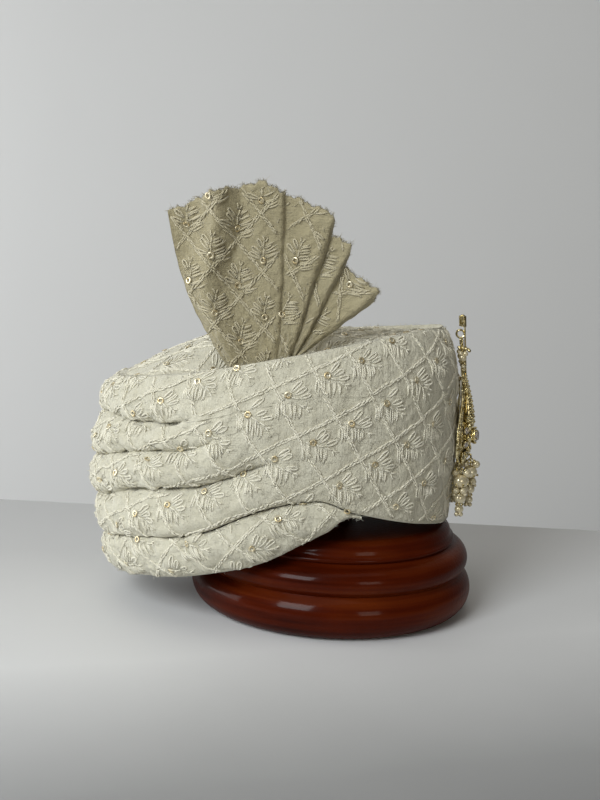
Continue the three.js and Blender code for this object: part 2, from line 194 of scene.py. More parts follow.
# %% Lacquer finish
def lacquer_finish():
    finish = Finish("lacquer", roughness=0.4, specular_ior_level=0.02, coat_weight=0.15,
                    coat_roughness=0.12)
    streaks = finish.cloud((7, 7, 190), detail=6)
    broad = finish.cloud((16, 16, 16), detail=2)
    tone = streaks * 0.7 + broad * 0.45 - 0.08
    stain = finish.ramp(tone, (0.25, (0.015, 0.0013, 0.0003)), (0.5, (0.06, 0.0066, 0.0008)),
                        (0.78, (0.13, 0.024, 0.0035)))
    peel = finish.cloud((420, 420, 420), detail=2)
    finish.surface(base_color=stain, normal=finish.relief(streaks * 0.5 + peel * 0.6, 0.0004))
    return finish.material


lacquer = lacquer_finish()
print("made", lacquer.name)

# %% [markdown]
# The cloth is raw silk and cotton: a fine plain weave with thicker slub threads here and there. The
# sheets carry a texture map in cloth millimetres, so the weave keeps its scale on every fold. Two
# sine waves cross for the weave, and stretched noise gives the slubs and the uneven ivory.

# %% Cloth finish
IVORY, CREAM = (0.72, 0.693, 0.558), (0.645, 0.613, 0.473)
# The fan's colours are partly painted shade, for a fan that leans forward and faces down, and partly a thin
# cloth that reflects less.
SHEER_SHADED, SHADE = (0.45, 0.398, 0.248), (0.395, 0.344, 0.208)
THREADS = (9, 9, 1)  # waves of the weave for each millimetre


def cloth_finish(name, pale, deep):
    finish = Finish(name, sheen_weight=0.3, sheen_roughness=0.45, specular_ior_level=0.25)
    across, along = finish.cloth_ways(THREADS)
    slubs = finish.cloud((0.04, 1.9, 1), detail=4, source="UV")
    warp_slubs = finish.cloud((1.4, 0.05, 1), detail=4, source="UV")
    patches = finish.cloud((0.055, 0.055, 1), detail=3, source="UV")
    tone = slubs * 0.5 + warp_slubs * 0.3 + patches * 0.75 - 0.35
    weave = across.sine() * along.sine()
    crinkle = finish.cloud((0.3, 0.24, 1), detail=6, source="UV")
    bumps = weave * 0.05 + slubs * 0.3 + warp_slubs * 0.22 + crinkle * 1.2
    finish.surface(base_color=finish.ramp(tone, (0.2, deep), (0.62, pale)),
                   roughness=0.62 + 0.2 * slubs, normal=finish.relief(bumps, 0.0018))
    return finish.material


cloth = cloth_finish("ivory_cloth", IVORY, CREAM)
# The fan's cloth is darker: partly painted shade, partly a thinner cloth that reflects less.
sheer_shaded = cloth_finish("sheer_shaded_cloth", SHEER_SHADED, SHADE)
print("made", cloth.name, "and", sheer_shaded.name)

# %% [markdown]
# The embroidery is soft twisted floss with more shine than the ground cloth. Each stitch has a map of
# its length and the way round it, so a slanting wave can stand for the twist of the plies. The gilt metal,
# the pearls and the cut stones only need a slow change of colour, and the rest is set on the shader.

# %% Floss, metal, pearl and stone finishes
PLIES = (5.5, 12.566, 1)  # turns of the twist along a stitch and round it


def floss_finish(name, deep, pale):
    finish = Finish(name, sheen_weight=0.35, sheen_roughness=0.35, specular_ior_level=0.35)
    along, around = finish.cloth_ways(PLIES)
    shade = finish.cloud((130, 130, 130), detail=3)
    finish.surface(base_color=finish.ramp(shade, (0.3, deep), (0.7, pale)),
                   roughness=0.42 + 0.2 * shade, normal=finish.relief((along + around).sine(), 0.00012))
    return finish.material


def metal_finish(name, bright, worn_and_reflected_dark, roughness, grain, metallic=1.0):
    finish = Finish(name, metallic=metallic)
    # The darker patches are partly tarnish and partly painted reflection, standing in for the dark room
    # that the metal would mirror.
    tarnish_and_reflection_mask = finish.cloud((grain, grain, grain), detail=5)
    finish.surface(base_color=finish.ramp(tarnish_and_reflection_mask, (0.4, worn_and_reflected_dark), (0.56, bright)),
                   roughness=roughness + 0.25 * (1 - tarnish_and_reflection_mask), normal=finish.relief(tarnish_and_reflection_mask, 0.0002))
    return finish.material


def pearl_finish():
    finish = Finish("pearl", metallic=0.42, coat_weight=0.6, coat_roughness=0.1, specular_ior_level=0.8)
    lustre = finish.cloud((150, 150, 150))
    nacre = finish.ramp(lustre, (0.3, (0.68, 0.59, 0.37)), (0.7, (0.84, 0.77, 0.56)))
    finish.surface(base_color=nacre, roughness=0.17 + 0.12 * lustre)
    return finish.material


def stone_finish():
    finish = Finish("cut_stone", roughness=0.04, ior=1.7, transmission_weight=0.7, coat_weight=0.8)
    bloom = finish.cloud((300, 300, 300), detail=2)
    finish.surface(base_color=finish.ramp(bloom, (0.3, (0.74, 0.68, 0.65)), (0.7, (0.92, 0.88, 0.86))))
    return finish.material


floss = floss_finish("floss", (0.78, 0.745, 0.595), (0.88, 0.845, 0.70))
# The fan's threads are darkened as painted shade, to match the fan's shaded cloth.
sheer_shaded_floss = floss_finish("sheer_shaded_floss", (0.51, 0.455, 0.297), (0.615, 0.557, 0.392))
pearl, stone = pearl_finish(), stone_finish()
gold = metal_finish("pale_gold", (0.98, 0.87, 0.53), (0.33, 0.25, 0.085), 0.1, 520)
sequin_gold = metal_finish("sequin_gold", (0.95, 0.87, 0.64), (0.62, 0.50, 0.28), 0.2, 260, 0.85)
print("made", ", ".join(m.name for m in (floss, sheer_shaded_floss, gold, sequin_gold, pearl, stone)))

# %% [markdown]
# Pieces are built from tables of points in millimetres. One helper turns points and faces into a mesh
# object in metres, lets it ride on the frame's only body and hides the solid that it stands for. The map
# argument holds two cloth distances for each face corner.

# %% Pieces from points
def make_piece(name, points, faces, material, slot, node=None, corner_map=None, sharp=None):
    mesh = bpy.data.meshes.new(name)
    corners = [list(map(int, face)) for face in faces]
    mesh.from_pydata((np.asarray(points, float) * MM).tolist(), [], corners)
    if corner_map is not None:
        layer = mesh.uv_layers.new(name="cloth")
        layer.data.foreach_set("uv", np.asarray(corner_map, np.float32).ravel())
    mesh.shade_smooth()
    if sharp:
        mesh.set_sharp_from_angle(angle=math.radians(sharp))
    mesh.validate()
    mesh.materials.append(material)
    piece = bpy.data.objects.new(name, mesh)
    bpy.context.collection.objects.link(piece)
    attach(piece, "root")
    if node:
        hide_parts(node)
    print(f"{name}: {len(mesh.vertices)} points, {len(mesh.polygons)} faces")
    return piece


def grid_faces(columns, rows, round_columns=False, round_rows=False, start=0):
    i = np.arange(columns if round_columns else columns - 1)[:, None]
    j = np.arange(rows if round_rows else rows - 1)[None, :]
    ahead, above = (i + 1) % columns, (j + 1) % rows
    corners = [i * rows + j, ahead * rows + j, ahead * rows + above, i * rows + above]
    return start + np.stack(np.broadcast_arrays(*corners), -1).reshape(-1, 4)


def tube_faces(columns, rows):
    """Faces of a tube of rings, with one face to close each end."""
    ends = [list(range(rows))[::-1], [(columns - 1) * rows + j for j in range(rows)]]
    return grid_faces(columns, rows, False, True).tolist() + ends


def turned(profile, sides):
    """A profile of radius and height spun round the upright axis and closed at both ends."""
    angle = np.arange(sides) * 2 * math.pi / sides
    radius, height = np.array(profile, float).T
    ring = np.stack([np.cos(angle)[:, None] * radius, np.sin(angle)[:, None] * radius,
                     np.broadcast_to(height, (sides, len(height)))], -1)
    rows = len(profile)
    faces = grid_faces(sides, rows, round_columns=True).tolist()
    under, over = ([i * rows + row for i in range(sides)] for row in (0, rows - 1))
    return ring.reshape(-1, 3), [*faces, under[::-1], over]


print("mesh helpers ready")

# %% [markdown]
# The stand is turned on a lathe, so a profile spun round the axis is the right tool. Each moulding is an
# arc about its own ring, as in the solid, with many more steps and a fine scribed groove where two
# mouldings meet. The post that carries the turban is hidden inside and is turned in the same way.

# %% Stand and post
STAND_TOP = 62.5
MOULDINGS = [  # name, ring, height, bulge, from, to, steps
    ("foot", 81.5, 16.0, 16.0, -86, 48, 26),
    ("belly", 84.5, 37.2, 10.0, -50, 83, 22),
    ("fillet", 82.6, 51.0, 1.8, -80, 80, 8),
    ("shoulder", 73.0, STAND_TOP - 9, 9.0, 8, 90, 14),
]


def stand_profile():
    profile = [(72, 1.2), (74, 0), (80, 0)]
    for _, ring, height, bulge, start, end, steps in MOULDINGS:
        angle = np.radians(np.linspace(start, end, steps))
        arc = np.stack([ring + bulge * np.cos(angle), height + bulge * np.sin(angle)], 1)
        profile.extend(map(tuple, arc))
    return [(0.5, 1.2), *profile, (40, STAND_TOP), (0.5, STAND_TOP)]


make_piece("stand_turned", *turned(stand_profile(), 144), lacquer, "lacquer", "stand", sharp=50)

POST_TOP, POST_FOOT = 180.7, STAND_TOP + 0.4
ABOVE_FOOT = [(0.5, 0), (14, 0), (14.5, 1), (14, 2), (11, 3)]  # radius, height above the foot
BELOW_TOP = [(11, 20), (13, 15), (20, 11), (25, 9), (26, 7), (26, 4), (24, 1.4), (20, 0), (0.5, 0)]
post_profile = [(radius, POST_FOOT + above) for radius, above in ABOVE_FOOT]
post_profile += [(radius, POST_TOP - below) for radius, below in BELOW_TOP]
make_piece("post_turned", *turned(post_profile, 64), lacquer, "lacquer", "stand_post", sharp=50)

# %% [markdown]
# The turban's plan is two ovals: the outside of the rolls and the hollow for the head. A turn is an
# angle from the back, positive on the near side, and a smooth curve through a short table gives the
# height of the lower rim, the seam and the upper edge at any turn. The same numbers shaped the solids.

# %% Plan of the turban
OUTSIDE, HOLLOW = (-45.5, 126.5, 105.0), (-34.5, 101.5, 82.5)  # middle, half length, half width
GAP, ROLL_ENDS = 0.4, 120
STATION_TURNS = [0, 52, 70, 88, 106, 118, 145, 180]
HEIGHTS = {
    "rim": [19, 32, 39.5, 50, 69, 78.6, 72, 63.5],
    "seam": [46, 59.5, 67.5, 85, 92.3, 84.5, 72, 63.5],
    "top": [154, 164, 170.9, 179, 186.5, 191, 197, 197],
    "far_top": [154, 163, 169.5, 177, 183, 186, 191.5, 197],
}


def oval(plan, turn):
    middle, length, width = plan
    return np.stack([middle - length * np.cos(np.radians(turn)), -width * np.sin(np.radians(turn))], -1)


def height_at(column, turn):
    x, y = np.array(STATION_TURNS, float), np.array(HEIGHTS[column], float)
    slope = np.zeros_like(y)
    slope[1:-1] = (y[2:] - y[:-2]) / (x[2:] - x[:-2])
    at = np.abs(turn)
    i = np.clip(np.searchsorted(x, at) - 1, 0, len(x) - 2)
    span = x[i + 1] - x[i]
    t = (at - x[i]) / span
    start = y[i] * (1 + 2 * t) + slope[i] * span * t
    end = y[i + 1] * (3 - 2 * t) - slope[i + 1] * span * (1 - t)
    return start * (1 - t) ** 2 + end * t ** 2


def top_at(turn):
    return np.where(turn < 0, height_at("far_top", turn), height_at("top", turn))


def smooth(value, low, high):
    t = np.clip((value - low) / (high - low), 0, 1)
    return t * t * (3 - 2 * t)


def mix(first, second, share):
    return first + (second - first) * share


def running_distance(points, axis=0):
    """The distance from the start for every point along one axis of a table of points."""
    steps = np.cumsum(np.linalg.norm(np.diff(points, axis=axis), axis=-1), axis=axis)
    return np.concatenate([np.zeros_like(np.take(steps, [0], axis)), steps], axis)


fine_turns = np.linspace(0, 360, 7201)
fine_round = running_distance(oval(OUTSIDE, fine_turns))
ROUND = fine_round[-1]


def turn_at(distance):
    turn = np.interp(np.mod(distance, ROUND), fine_round, fine_turns)
    return np.where(turn > 180, turn - 360, turn)


print(f"the cloth goes {ROUND:.0f} mm round the outside")

# %% [markdown]
# A wound cloth is not a smooth barrel: it bulges, and it puckers where stitches pull it in. The first
# function below gives the barrel, and a short table moves the backs of the rolls to the outline that the
# photograph shows. Wrinkles are a sum of slow waves with seeded directions that close on themselves round
# the turban, and the lattice tells how far any spot of cloth is from a stitched cord.

# %% Bulge, wrinkles and the stitched lattice
dice = np.random.default_rng(28)


def barrel(turn, height):
    share = (1 - np.cos(np.radians(turn))) / 2
    return mix(0.002, 0.0006, share) * (height - mix(80, 115, share)) ** 2


BACK_HEIGHTS, BACK_SHIFTS = (33, 46, 60, 74, 86, 142, 154), (5.5, 3.5, 0.5, -2, -3.5, -3, -1)
BACK_FROM, BACK_FULL = 50, 140  # distances behind the middle between which the shift sets in


def wall_point(turn, inset, height):
    """A point of the wall, some way in from the outside, and never past the hollow."""
    out, inner = oval(OUTSIDE, turn), oval(HOLLOW, turn)
    wall = np.linalg.norm(inner - out, axis=-1)
    place = out + (inner - out) * (np.minimum(inset, wall - 0.2) / wall)[..., None]
    height = np.broadcast_to(height, turn.shape)
    behind = smooth(-place[..., 0], BACK_FROM, BACK_FULL)
    place[..., 0] += np.interp(height, BACK_HEIGHTS, BACK_SHIFTS) * behind
    return np.concatenate([place, height[..., None]], -1)


WAVE_BANDS = ((26, 60, 14, 60), (40, 105, 6.5, 14))  # count, most waves round, shortest, longest
WAVE_RISE, WAVE_POWER = 0.042, 0.66  # a longer wave is higher


def draw_wave(most, shortest, longest):
    around = 2 * math.pi * dice.integers(-most, most + 1) / ROUND
    up = 2 * math.pi / dice.uniform(shortest, longest)
    return around, up, dice.uniform(0, 6.28)


WAVES = [draw_wave(*band) for count, *band in WAVE_BANDS for _ in range(count)]


def wrinkles(around, up):
    total = 0
    for k, m, start in WAVES:
        total = total + np.sin(k * around + m * up + start) * WAVE_RISE / math.hypot(k, m) ** WAVE_POWER
    return total


CORD_GROOVE, CORD_DIP, PILLOW = 1.7, 0.2, 0.5  # half width and depth at a cord, rise between cords


class Lattice:
    """Two families of stitched lines; i and j count the cells along them."""

    def __init__(self, start, first, second):
        self.start, self.sides = np.array(start), np.array([first, second])
        self.cell = abs(np.linalg.det(self.sides))

    def cells(self, spots):
        return (np.asarray(spots) - self.start) @ np.linalg.inv(self.sides)

    def spot(self, i, j):
        return self.start + np.stack([i, j], -1) @ self.sides

    def puff(self, spots):
        share = self.cells(spots)
        off = np.abs(share - np.round(share)) * self.cell / np.linalg.norm(self.sides, axis=1)[::-1]
        cord = np.exp(-((off.min(-1) / CORD_GROOVE) ** 2))
        pillow = np.prod(np.sin(np.pi * share) ** 2, axis=-1)
        return PILLOW * pillow - CORD_DIP * cord


PANEL_LATTICE = Lattice((161.0, 149.6), (23.92, 11.6), (17.87, -26.68))
print(f"{len(WAVES)} waves; a cell of the lattice covers {PANEL_LATTICE.cell:.0f} square millimetres")

# %% [markdown]
# A Cloth remembers where every spot of a sheet lies: it is asked with a distance round and a distance
# up the cloth, and answers with a point and the way out of the surface there. Stitches and sequins can
# then be drawn flat, as on a table, and laid on the folded cloth at the very end.

# %% Cloth surfaces
def surface_normals(grid, closed):
    if closed:
        across = np.roll(grid, -1, 0) - np.roll(grid, 1, 0)
    else:
        across = np.gradient(grid, axis=0)
    normal = np.cross(across, np.gradient(grid, axis=1))
    return normal / np.maximum(np.linalg.norm(normal, axis=-1, keepdims=True), 1e-9)


class Cloth:
    ROWS = 420

    def __init__(self, around, grid, closed):
        self.around, self.closed = around, closed
        self.up = running_distance(grid, 1)
        self.length = self.up[:, -1]
        even = np.linspace(0, 1, self.ROWS)
        self.points = np.stack([np.stack([np.interp(even * top, up, column[:, c]) for c in range(3)], -1)
                                for top, up, column in zip(self.length, self.up, grid)])
        self.normals = surface_normals(self.points, closed)

    def read(self, table, column, row=None):
        low = np.floor(column).astype(int)
        share = column - low
        count = len(table)
        first, second = low, low + 1
        if self.closed:
            first, second = first % count, second % count
        else:
            first, second = np.clip(first, 0, count - 1), np.clip(second, 0, count - 1)
        if row is None:
            return mix(table[first], table[second], share)
        base = np.clip(np.floor(row).astype(int), 0, self.ROWS - 2)
        rest = np.clip(row - base, 0, 1)[..., None]
        return mix(mix(table[first, base], table[first, base + 1], rest),
                   mix(table[second, base], table[second, base + 1], rest), share[..., None])

    def column(self, around):
        step = self.around[1] - self.around[0]
        return (np.mod(around, ROUND) if self.closed else around - self.around[0]) / step

    def at(self, around, up):
        column = self.column(around)
        row = up / self.read(self.length, column) * (self.ROWS - 1)
        normal = self.read(self.normals, column, row)
        return self.read(self.points, column, row), normal / np.linalg.norm(normal, axis=-1, keepdims=True)


print("cloth surfaces ready")

# %% [markdown]
# The wrap is one closed ring of cloth. Going up its outside there are four rolls with creases between
# them, which open out into the smooth panel at the front. Each roll is a rounded lobe that hangs a little
# over the crease below it. A simulation of a few hundred wound layers would be slow and hard to steer, so
# the lobes are drawn directly, then wrinkled and puckered along their normals.

# %% Rolls of the wrap
FOLDS = [  # name, share at the back, share where it opens, near end, far end, depth
    ("lower", 0.262, 0.300, 98, 96, 15.0),
    ("middle", 0.477, 0.565, 80, 72, 14.5),
    ("upper", 0.785, 0.695, 70, 76, 13.0),
]
SEAM_DEPTH, HEM_DEPTH, TOP_DEPTH, DROOP = 10.0, 2.0, 11.0, 2.2
COLUMNS, LOBE_ROWS, ROLL_TAPERS = 480, 22, 96
CREASE_ROUND, CREASE_SOFT = 0.72, 0.28  # shares of a round edge and of a slack one


def crease(t):
    round_edge = 1 - np.sqrt(np.clip(1 - (1 - t) ** 2, 0, 1))
    return CREASE_ROUND * round_edge + CREASE_SOFT * (1 - t) ** 2


def fold_edge(fold, turn):
    _, back, opens, near, far, depth = fold
    share = np.clip(np.abs(turn) / np.where(turn > 0, near, far), 0, 1)
    strength = 1 - smooth(share, 0.8, 1)
    wander = 1.3 * np.sin(np.radians(3 * turn) + depth + back * 9)
    wander = wander + 0.7 * np.sin(np.radians(8 * turn) + back * 30)
    height = mix(height_at("seam", turn), top_at(turn), mix(back, opens, share)) + wander * strength
    return height, strength, depth * strength


def seam_edge(turn):
    strength = 1 - smooth(np.abs(turn), ROLL_TAPERS, ROLL_ENDS)
    return height_at("seam", turn), strength, mix(HEM_DEPTH, SEAM_DEPTH, strength)


def lobe(turn, low, high, steps):
    """One roll between two edges; an edge is a height, a strength and a depth for every turn."""
    t = ((1 - np.cos(np.pi * np.arange(steps + 1) / steps)) / 2)[None, :]
    (low_height, low_strength, low_depth), (high_height, _, high_depth) = (
        [np.asarray(v, float)[:, None] for v in edge] for edge in (low, high))
    height = mix(low_height, high_height, t ** (1 + 0.25 * low_strength))
    height = height - DROOP * low_strength * 4 * t * (1 - t) ** 2
    groove = low_depth * crease(t) + high_depth * crease(1 - t)
    turns = np.broadcast_to(turn[:, None], height.shape)
    return wall_point(turns, barrel(turns, height) + groove, height)


around = np.arange(COLUMNS) * ROUND / COLUMNS
turn = turn_at(around)
top_edge = (top_at(turn), np.zeros(COLUMNS), np.full(COLUMNS, TOP_DEPTH))
edges = [seam_edge(turn), *(fold_edge(fold, turn) for fold in FOLDS), top_edge]
lobes = [lobe(turn, low, high, LOBE_ROWS) for low, high in zip(edges, edges[1:])]
outer = np.concatenate([part[:, : -1 if i < 3 else None] for i, part in enumerate(lobes)], 1)
print(f"wrap outside: {outer.shape[0]} columns of {outer.shape[1]} points")

# %% [markdown]
# The cloth distance up a roll is measured from the roll's middle, where it equals the height. In a crease
# the pattern therefore jumps, as it does on real cloth with a tuck, and on the flat panel it runs
# on unbroken. The puckers use these distances, and the outside is pushed in or out by them.

# %% Puckers, lip and lining of the wrap
LUMPS_BACK, LUMPS_LOST = 1.9, 1.1  # how strong the wrinkles are, and how much less on the panel
TO_HOLLOW = 99.0  # an inset that is past every wall, so wall_point stops it at the hollow
LINING_MAP = 400  # the lining's map starts away from the outside's
LIP_RISE, LIP_DROP = 0.4, 1.2


def cloth_heights(grid, ranges):
    """The distance up the cloth for each point, measured within each roll from its middle."""
    up = running_distance(grid, 1)
    level = np.empty_like(up)
    for low, high in ranges:
        middle_up = (up[:, low] + up[:, high])[:, None] / 2
        middle_height = (grid[:, low, 2] + grid[:, high, 2])[:, None] / 2
        level[:, low:high + 1] = up[:, low:high + 1] - middle_up + middle_height
    return level


def fading(count, pace):
    """One in the middle of a row of points, falling to nothing at both ends."""
    return np.minimum(1, np.linspace(0, pace, count)) * np.minimum(1, np.linspace(pace, 0, count))


roll_ranges = [(i * LOBE_ROWS, (i + 1) * LOBE_ROWS) for i in range(4)]
level = cloth_heights(outer, roll_ranges)
spots = np.stack([np.broadcast_to(around[:, None], level.shape), level], -1)
lumps = LUMPS_BACK - LUMPS_LOST * smooth(np.abs(turn), 40, 95)[:, None]
push = lumps * wrinkles(spots[..., 0], spots[..., 1]) + PANEL_LATTICE.puff(spots)
push = push * fading(outer.shape[1], 12)
outer = outer + surface_normals(outer, True) * push[..., None]

to_hollow = np.full(COLUMNS, TO_HOLLOW)
lip_share = np.array([0.3, 0.6, 0.85, 1.0])
lip_start, lip_end = outer[:, -1], wall_point(turn, to_hollow, top_at(turn) - 1.6)
lip = mix(lip_start[:, None], lip_end[:, None], lip_share[None, :, None])
lip_width = np.linalg.norm(lip_end - lip_start, axis=1)[:, None]
lip[..., 2] += LIP_RISE * lip_width * lip_share * (1 - lip_share) - LIP_DROP * lip_share ** 3
floor_edge = height_at("seam", turn) + 0.6
inside = np.stack([wall_point(turn, to_hollow, mix(floor_edge, lip[:, -1, 2], share))
                   for share in (0.97, 0.85, 0.7, 0.5, 0.3, 0.15, 0.02)], 1)
ring = np.concatenate([outer, lip, inside], 1)
ring_level = np.concatenate([level, level[:, -1:] + lip_width * lip_share, inside[..., 2] + LINING_MAP], 1)
print(f"pushed by {push.min():.1f} to {push.max():.1f} mm")

# %% [markdown]
# The ring closes on itself both round the turban and over its lip, so its faces are one closed grid. The
# map is written for each face corner, because the last column has to run on past the end of the round.

# %% Wrap piece
def ring_map(around, level, closed):
    columns, rows = level.shape
    last = columns if closed else columns - 1
    i, j = np.arange(last)[:, None], np.arange(rows)[None, :]
    step = around[1] - around[0]
    here, ahead = around[i] + 0 * j, around[i] + step + 0 * j
    above = (j + 1) % rows
    follow = (i + 1) % columns
    corners = [(here, level[i, j]), (ahead, level[follow, j]),
               (ahead, level[follow, above]), (here, level[i, above])]
    return np.stack([np.stack(np.broadcast_arrays(a, b), -1) for a, b in corners], 2).reshape(-1, 2)


wrap_faces = grid_faces(*ring.shape[:2], True, True)
wrap = make_piece("wrap_cloth", ring.reshape(-1, 3), wrap_faces, cloth, "cloth", "wrap",
                  ring_map(around, ring_level, True))
wrap_cloth = Cloth(around, outer, True)

# %% [markdown]
# The lowest roll runs round the back under the seam and tapers off at both sides. It is a single lobe with
# an inner wall, closed at its two ends. Its cloth was wound at a slant, so its lattice is turned.

# %% Lowest roll
ROLL_COLUMNS, ROLL_ROWS = 300, 30
ROLL_RIM_DEPTH, ROLL_LUMPS, ROLL_WAVES = 11.0, 1.6, 300  # ROLL_WAVES picks other wrinkles than the wrap's
TIP_LONG, TIP_HIGH = 11, 2.5  # degrees over which the tips taper off, and how high they end
ROLL_SLANT = 23


def spin_matrix(degrees):
    c, s = math.cos(math.radians(degrees)), math.sin(math.radians(degrees))
    return np.array([[c, s], [-s, c]])


def turned_lattice(lattice, degrees, start):
    return Lattice(start, *(lattice.sides @ spin_matrix(degrees)))


ROLL_LATTICE = turned_lattice(PANEL_LATTICE, ROLL_SLANT, (120.0, 60.0))
half_round = float(np.interp(ROLL_ENDS, fine_turns, fine_round))
roll_around = np.linspace(-half_round, half_round, ROLL_COLUMNS)
roll_turn = turn_at(roll_around)
blank = np.zeros(ROLL_COLUMNS)
taper = smooth(np.abs(roll_turn), ROLL_TAPERS, ROLL_ENDS)
tip = smooth(np.abs(roll_turn), ROLL_ENDS - TIP_LONG, ROLL_ENDS)
roll_seam = height_at("seam", roll_turn)
roll_rim = mix(height_at("rim", roll_turn), roll_seam - TIP_HIGH, tip)
roll_low = (roll_rim, blank, mix(ROLL_RIM_DEPTH, HEM_DEPTH, taper))
roll_high = (roll_seam - 2 * GAP, blank, mix(SEAM_DEPTH, HEM_DEPTH, taper))
roll_outer = lobe(roll_turn, roll_low, roll_high, ROLL_ROWS)
roll_level = cloth_heights(roll_outer, [(0, ROLL_ROWS)])
roll_spots = np.stack([np.broadcast_to(roll_around[:, None], roll_level.shape), roll_level], -1)
fade = fading(ROLL_ROWS + 1, 8) * (1 - 0.8 * taper)[:, None]
roll_wrinkles = ROLL_LUMPS * wrinkles(roll_spots[..., 0], roll_spots[..., 1] + ROLL_WAVES)
roll_push = (roll_wrinkles + ROLL_LATTICE.puff(roll_spots)) * fade
roll_outer = roll_outer + surface_normals(roll_outer, False) * roll_push[..., None]
roll_inner = np.stack([wall_point(roll_turn, blank + TO_HOLLOW, mix(roll_low[0], roll_high[0], share))
                       for share in (1.0, 0.7, 0.4, 0.12)], 1)
roll_ring = np.concatenate([roll_outer, roll_inner], 1)
roll_ring_level = np.concatenate([roll_level, roll_inner[..., 2] + LINING_MAP], 1)
roll_corners = ring_map(roll_around, roll_ring_level, False)
roll_corners = np.concatenate([roll_corners, roll_ring[0, ::-1, 1:], roll_ring[-1, :, 1:]])
lower_roll = make_piece("lower_roll_cloth", roll_ring.reshape(-1, 3), tube_faces(*roll_ring.shape[:2]),
                        cloth, "cloth", "lower_roll", roll_corners)
roll_cloth = Cloth(roll_around, roll_outer, False)

# %% [markdown]
# The crown is the soft top that closes the hollow. It is a dome of one sheet, gathered where it is tucked
# inside the wrap, and pressed down where the root of the fan is pushed in beside it. At the back it lies
# over the lip of the rolls. A polar grid with small radial gathers keeps its round edge clean.

# %% Crown
CROWN_APEX, CROWN_THICK, CROWN_LOW = np.array([-62.0, 0, 190.0]), 1.6, 0.8
CROWN_SUNK, CROWN_BOW = (3.5, -2.0), (2.4, 1.5)  # all round, at the back
CROWN_BACK, CROWN_WIDER = (35, 80), 0.15  # turns at which the back ends, and how far it reaches out
CROWN_GATHERS, CROWN_WRINKLES = 0.8, 0.4
FAN_POCKET = (88, 24, 30.0)  # turn, spread, dip


def crown_grid(drop, columns=180, rows=34):
    turns = (360 * np.arange(columns) / columns - 180)[:, None]
    share = np.linspace(0.012, 1, rows)[None, :]
    beside = (turns - FAN_POCKET[0]) / FAN_POCKET[1]
    dip = FAN_POCKET[2] * np.exp(-beside ** 2) * smooth(share, 0.42, 0.8)
    behind = 1 - smooth(np.abs(turns), *CROWN_BACK)
    edge = oval((HOLLOW[0], HOLLOW[1] - GAP, HOLLOW[2] - GAP), turns)
    apex = CROWN_APEX[:2]
    plan = apex + (edge - apex) * (share * (1 + CROWN_WIDER * behind))[..., None]
    rim = top_at(turns) - mix(*CROWN_SUNK, behind)
    height = mix(CROWN_APEX[2], rim, share ** mix(*CROWN_BOW, behind)) - dip - drop
    uneven = 2.2 * np.sin(np.radians(5 * turns))
    gathers = CROWN_GATHERS * np.sin(np.radians(23 * turns) + uneven) * smooth(share, 0.35, 0.95)
    creases = CROWN_WRINKLES * wrinkles(plan[..., 0] * 2, plan[..., 1] + 100)
    height = height + (gathers + creases) * smooth(share, 0.1, 0.3) - CROWN_LOW
    return np.concatenate([plan, height[..., None]], -1)


def sheet_piece(name, front, back, closed, material, node, cloth_map):
    """A closed sheet of two grids, with the same flat map on both of them."""
    ring = np.concatenate([front, back[:, ::-1]], 1)
    flat = np.concatenate([cloth_map, cloth_map[:, ::-1]], 1).reshape(-1, 2)
    faces = grid_faces(*ring.shape[:2], closed, True)
    corner_map = flat[faces.ravel()]
    if not closed:
        faces = tube_faces(*ring.shape[:2])
        corner_map = np.concatenate([corner_map, ring[0, ::-1, 1:], ring[-1, :, 1:]])
    return make_piece(name, ring.reshape(-1, 3), faces, material, "cloth", node, corner_map)


crown_top, crown_under = crown_grid(0), crown_grid(CROWN_THICK)
crown_outside, crown_inside = crown_top[:, ::-1], crown_under[:, ::-1]
crown_map = crown_outside[..., :2]
crown = sheet_piece("crown_cloth", crown_outside, crown_inside, True, cloth, "crown", crown_map)
crown_area = 0.5 * sum(face.area for face in crown.data.polygons)
print(f"crown cloth covers {crown_area:.4f} square metres")

# %% [markdown]
# The fan is a knife-pleated cloth. Twelve fold lines leave its narrow root, and each stands at its own
# depth. Towards the hem the first leaf bends forward at its corner. The surface between the lines is
# rounded so that a crease has the soft edge of a folded cloth, and two copies a cloth's thickness apart
# make the closed sheet.

# %% Pleated fan
FAN_DEPTH, FAN_LEAN, FAN_THICK = -73.0, 23.0, 1.5
FAN_FOLDS = np.array([  # root, up, angle, reach, depth, bow, steps
    (-68, 166, 113.0, 108.5, 12, -8, 12),
    (-65, 166, 105.0, 112.0, -3, -7, 16),
    (-57.5, 166, 100.4, 116.7, 10.5, -4, 26),
    (-49, 167, 91.4, 119.8, 6.5, 0, 14),
    (-42, 168, 89.6, 113.5, 6, 1, 8),
    (-40.5, 169, 89.4, 110.5, 11, 1, 24),
    (-36, 170, 74.8, 103.7, 6.5, 0, 8),
    (-34, 172, 74.4, 87.2, 16, 0, 16),
    (-31.5, 175, 65.9, 84.4, 11, 0, 8),
    (-30, 177, 64.3, 65.5, 20.5, 0, 22),
    (-28.5, 179, 42.5, 67.5, 14.5, 0, 8),
    (-27, 179, 40.2, 58.5, 22, 0, 1),
])
FAN_ROWS, FAN_SOFTENING = 76, 5
FIRST_LEAF = int(FAN_FOLDS[:3, 6].sum())  # steps between the first fold line and the fourth
CORNER_BEND, CORNER_FROM, CORNER_FULL = 1.06, 0.45, 0.95
RAGGED = [(0.8, 0.62, 0), (0.6, 1.37, 1), (0.5, 0.23, 2)]  # waves of the hem: height, pace, start


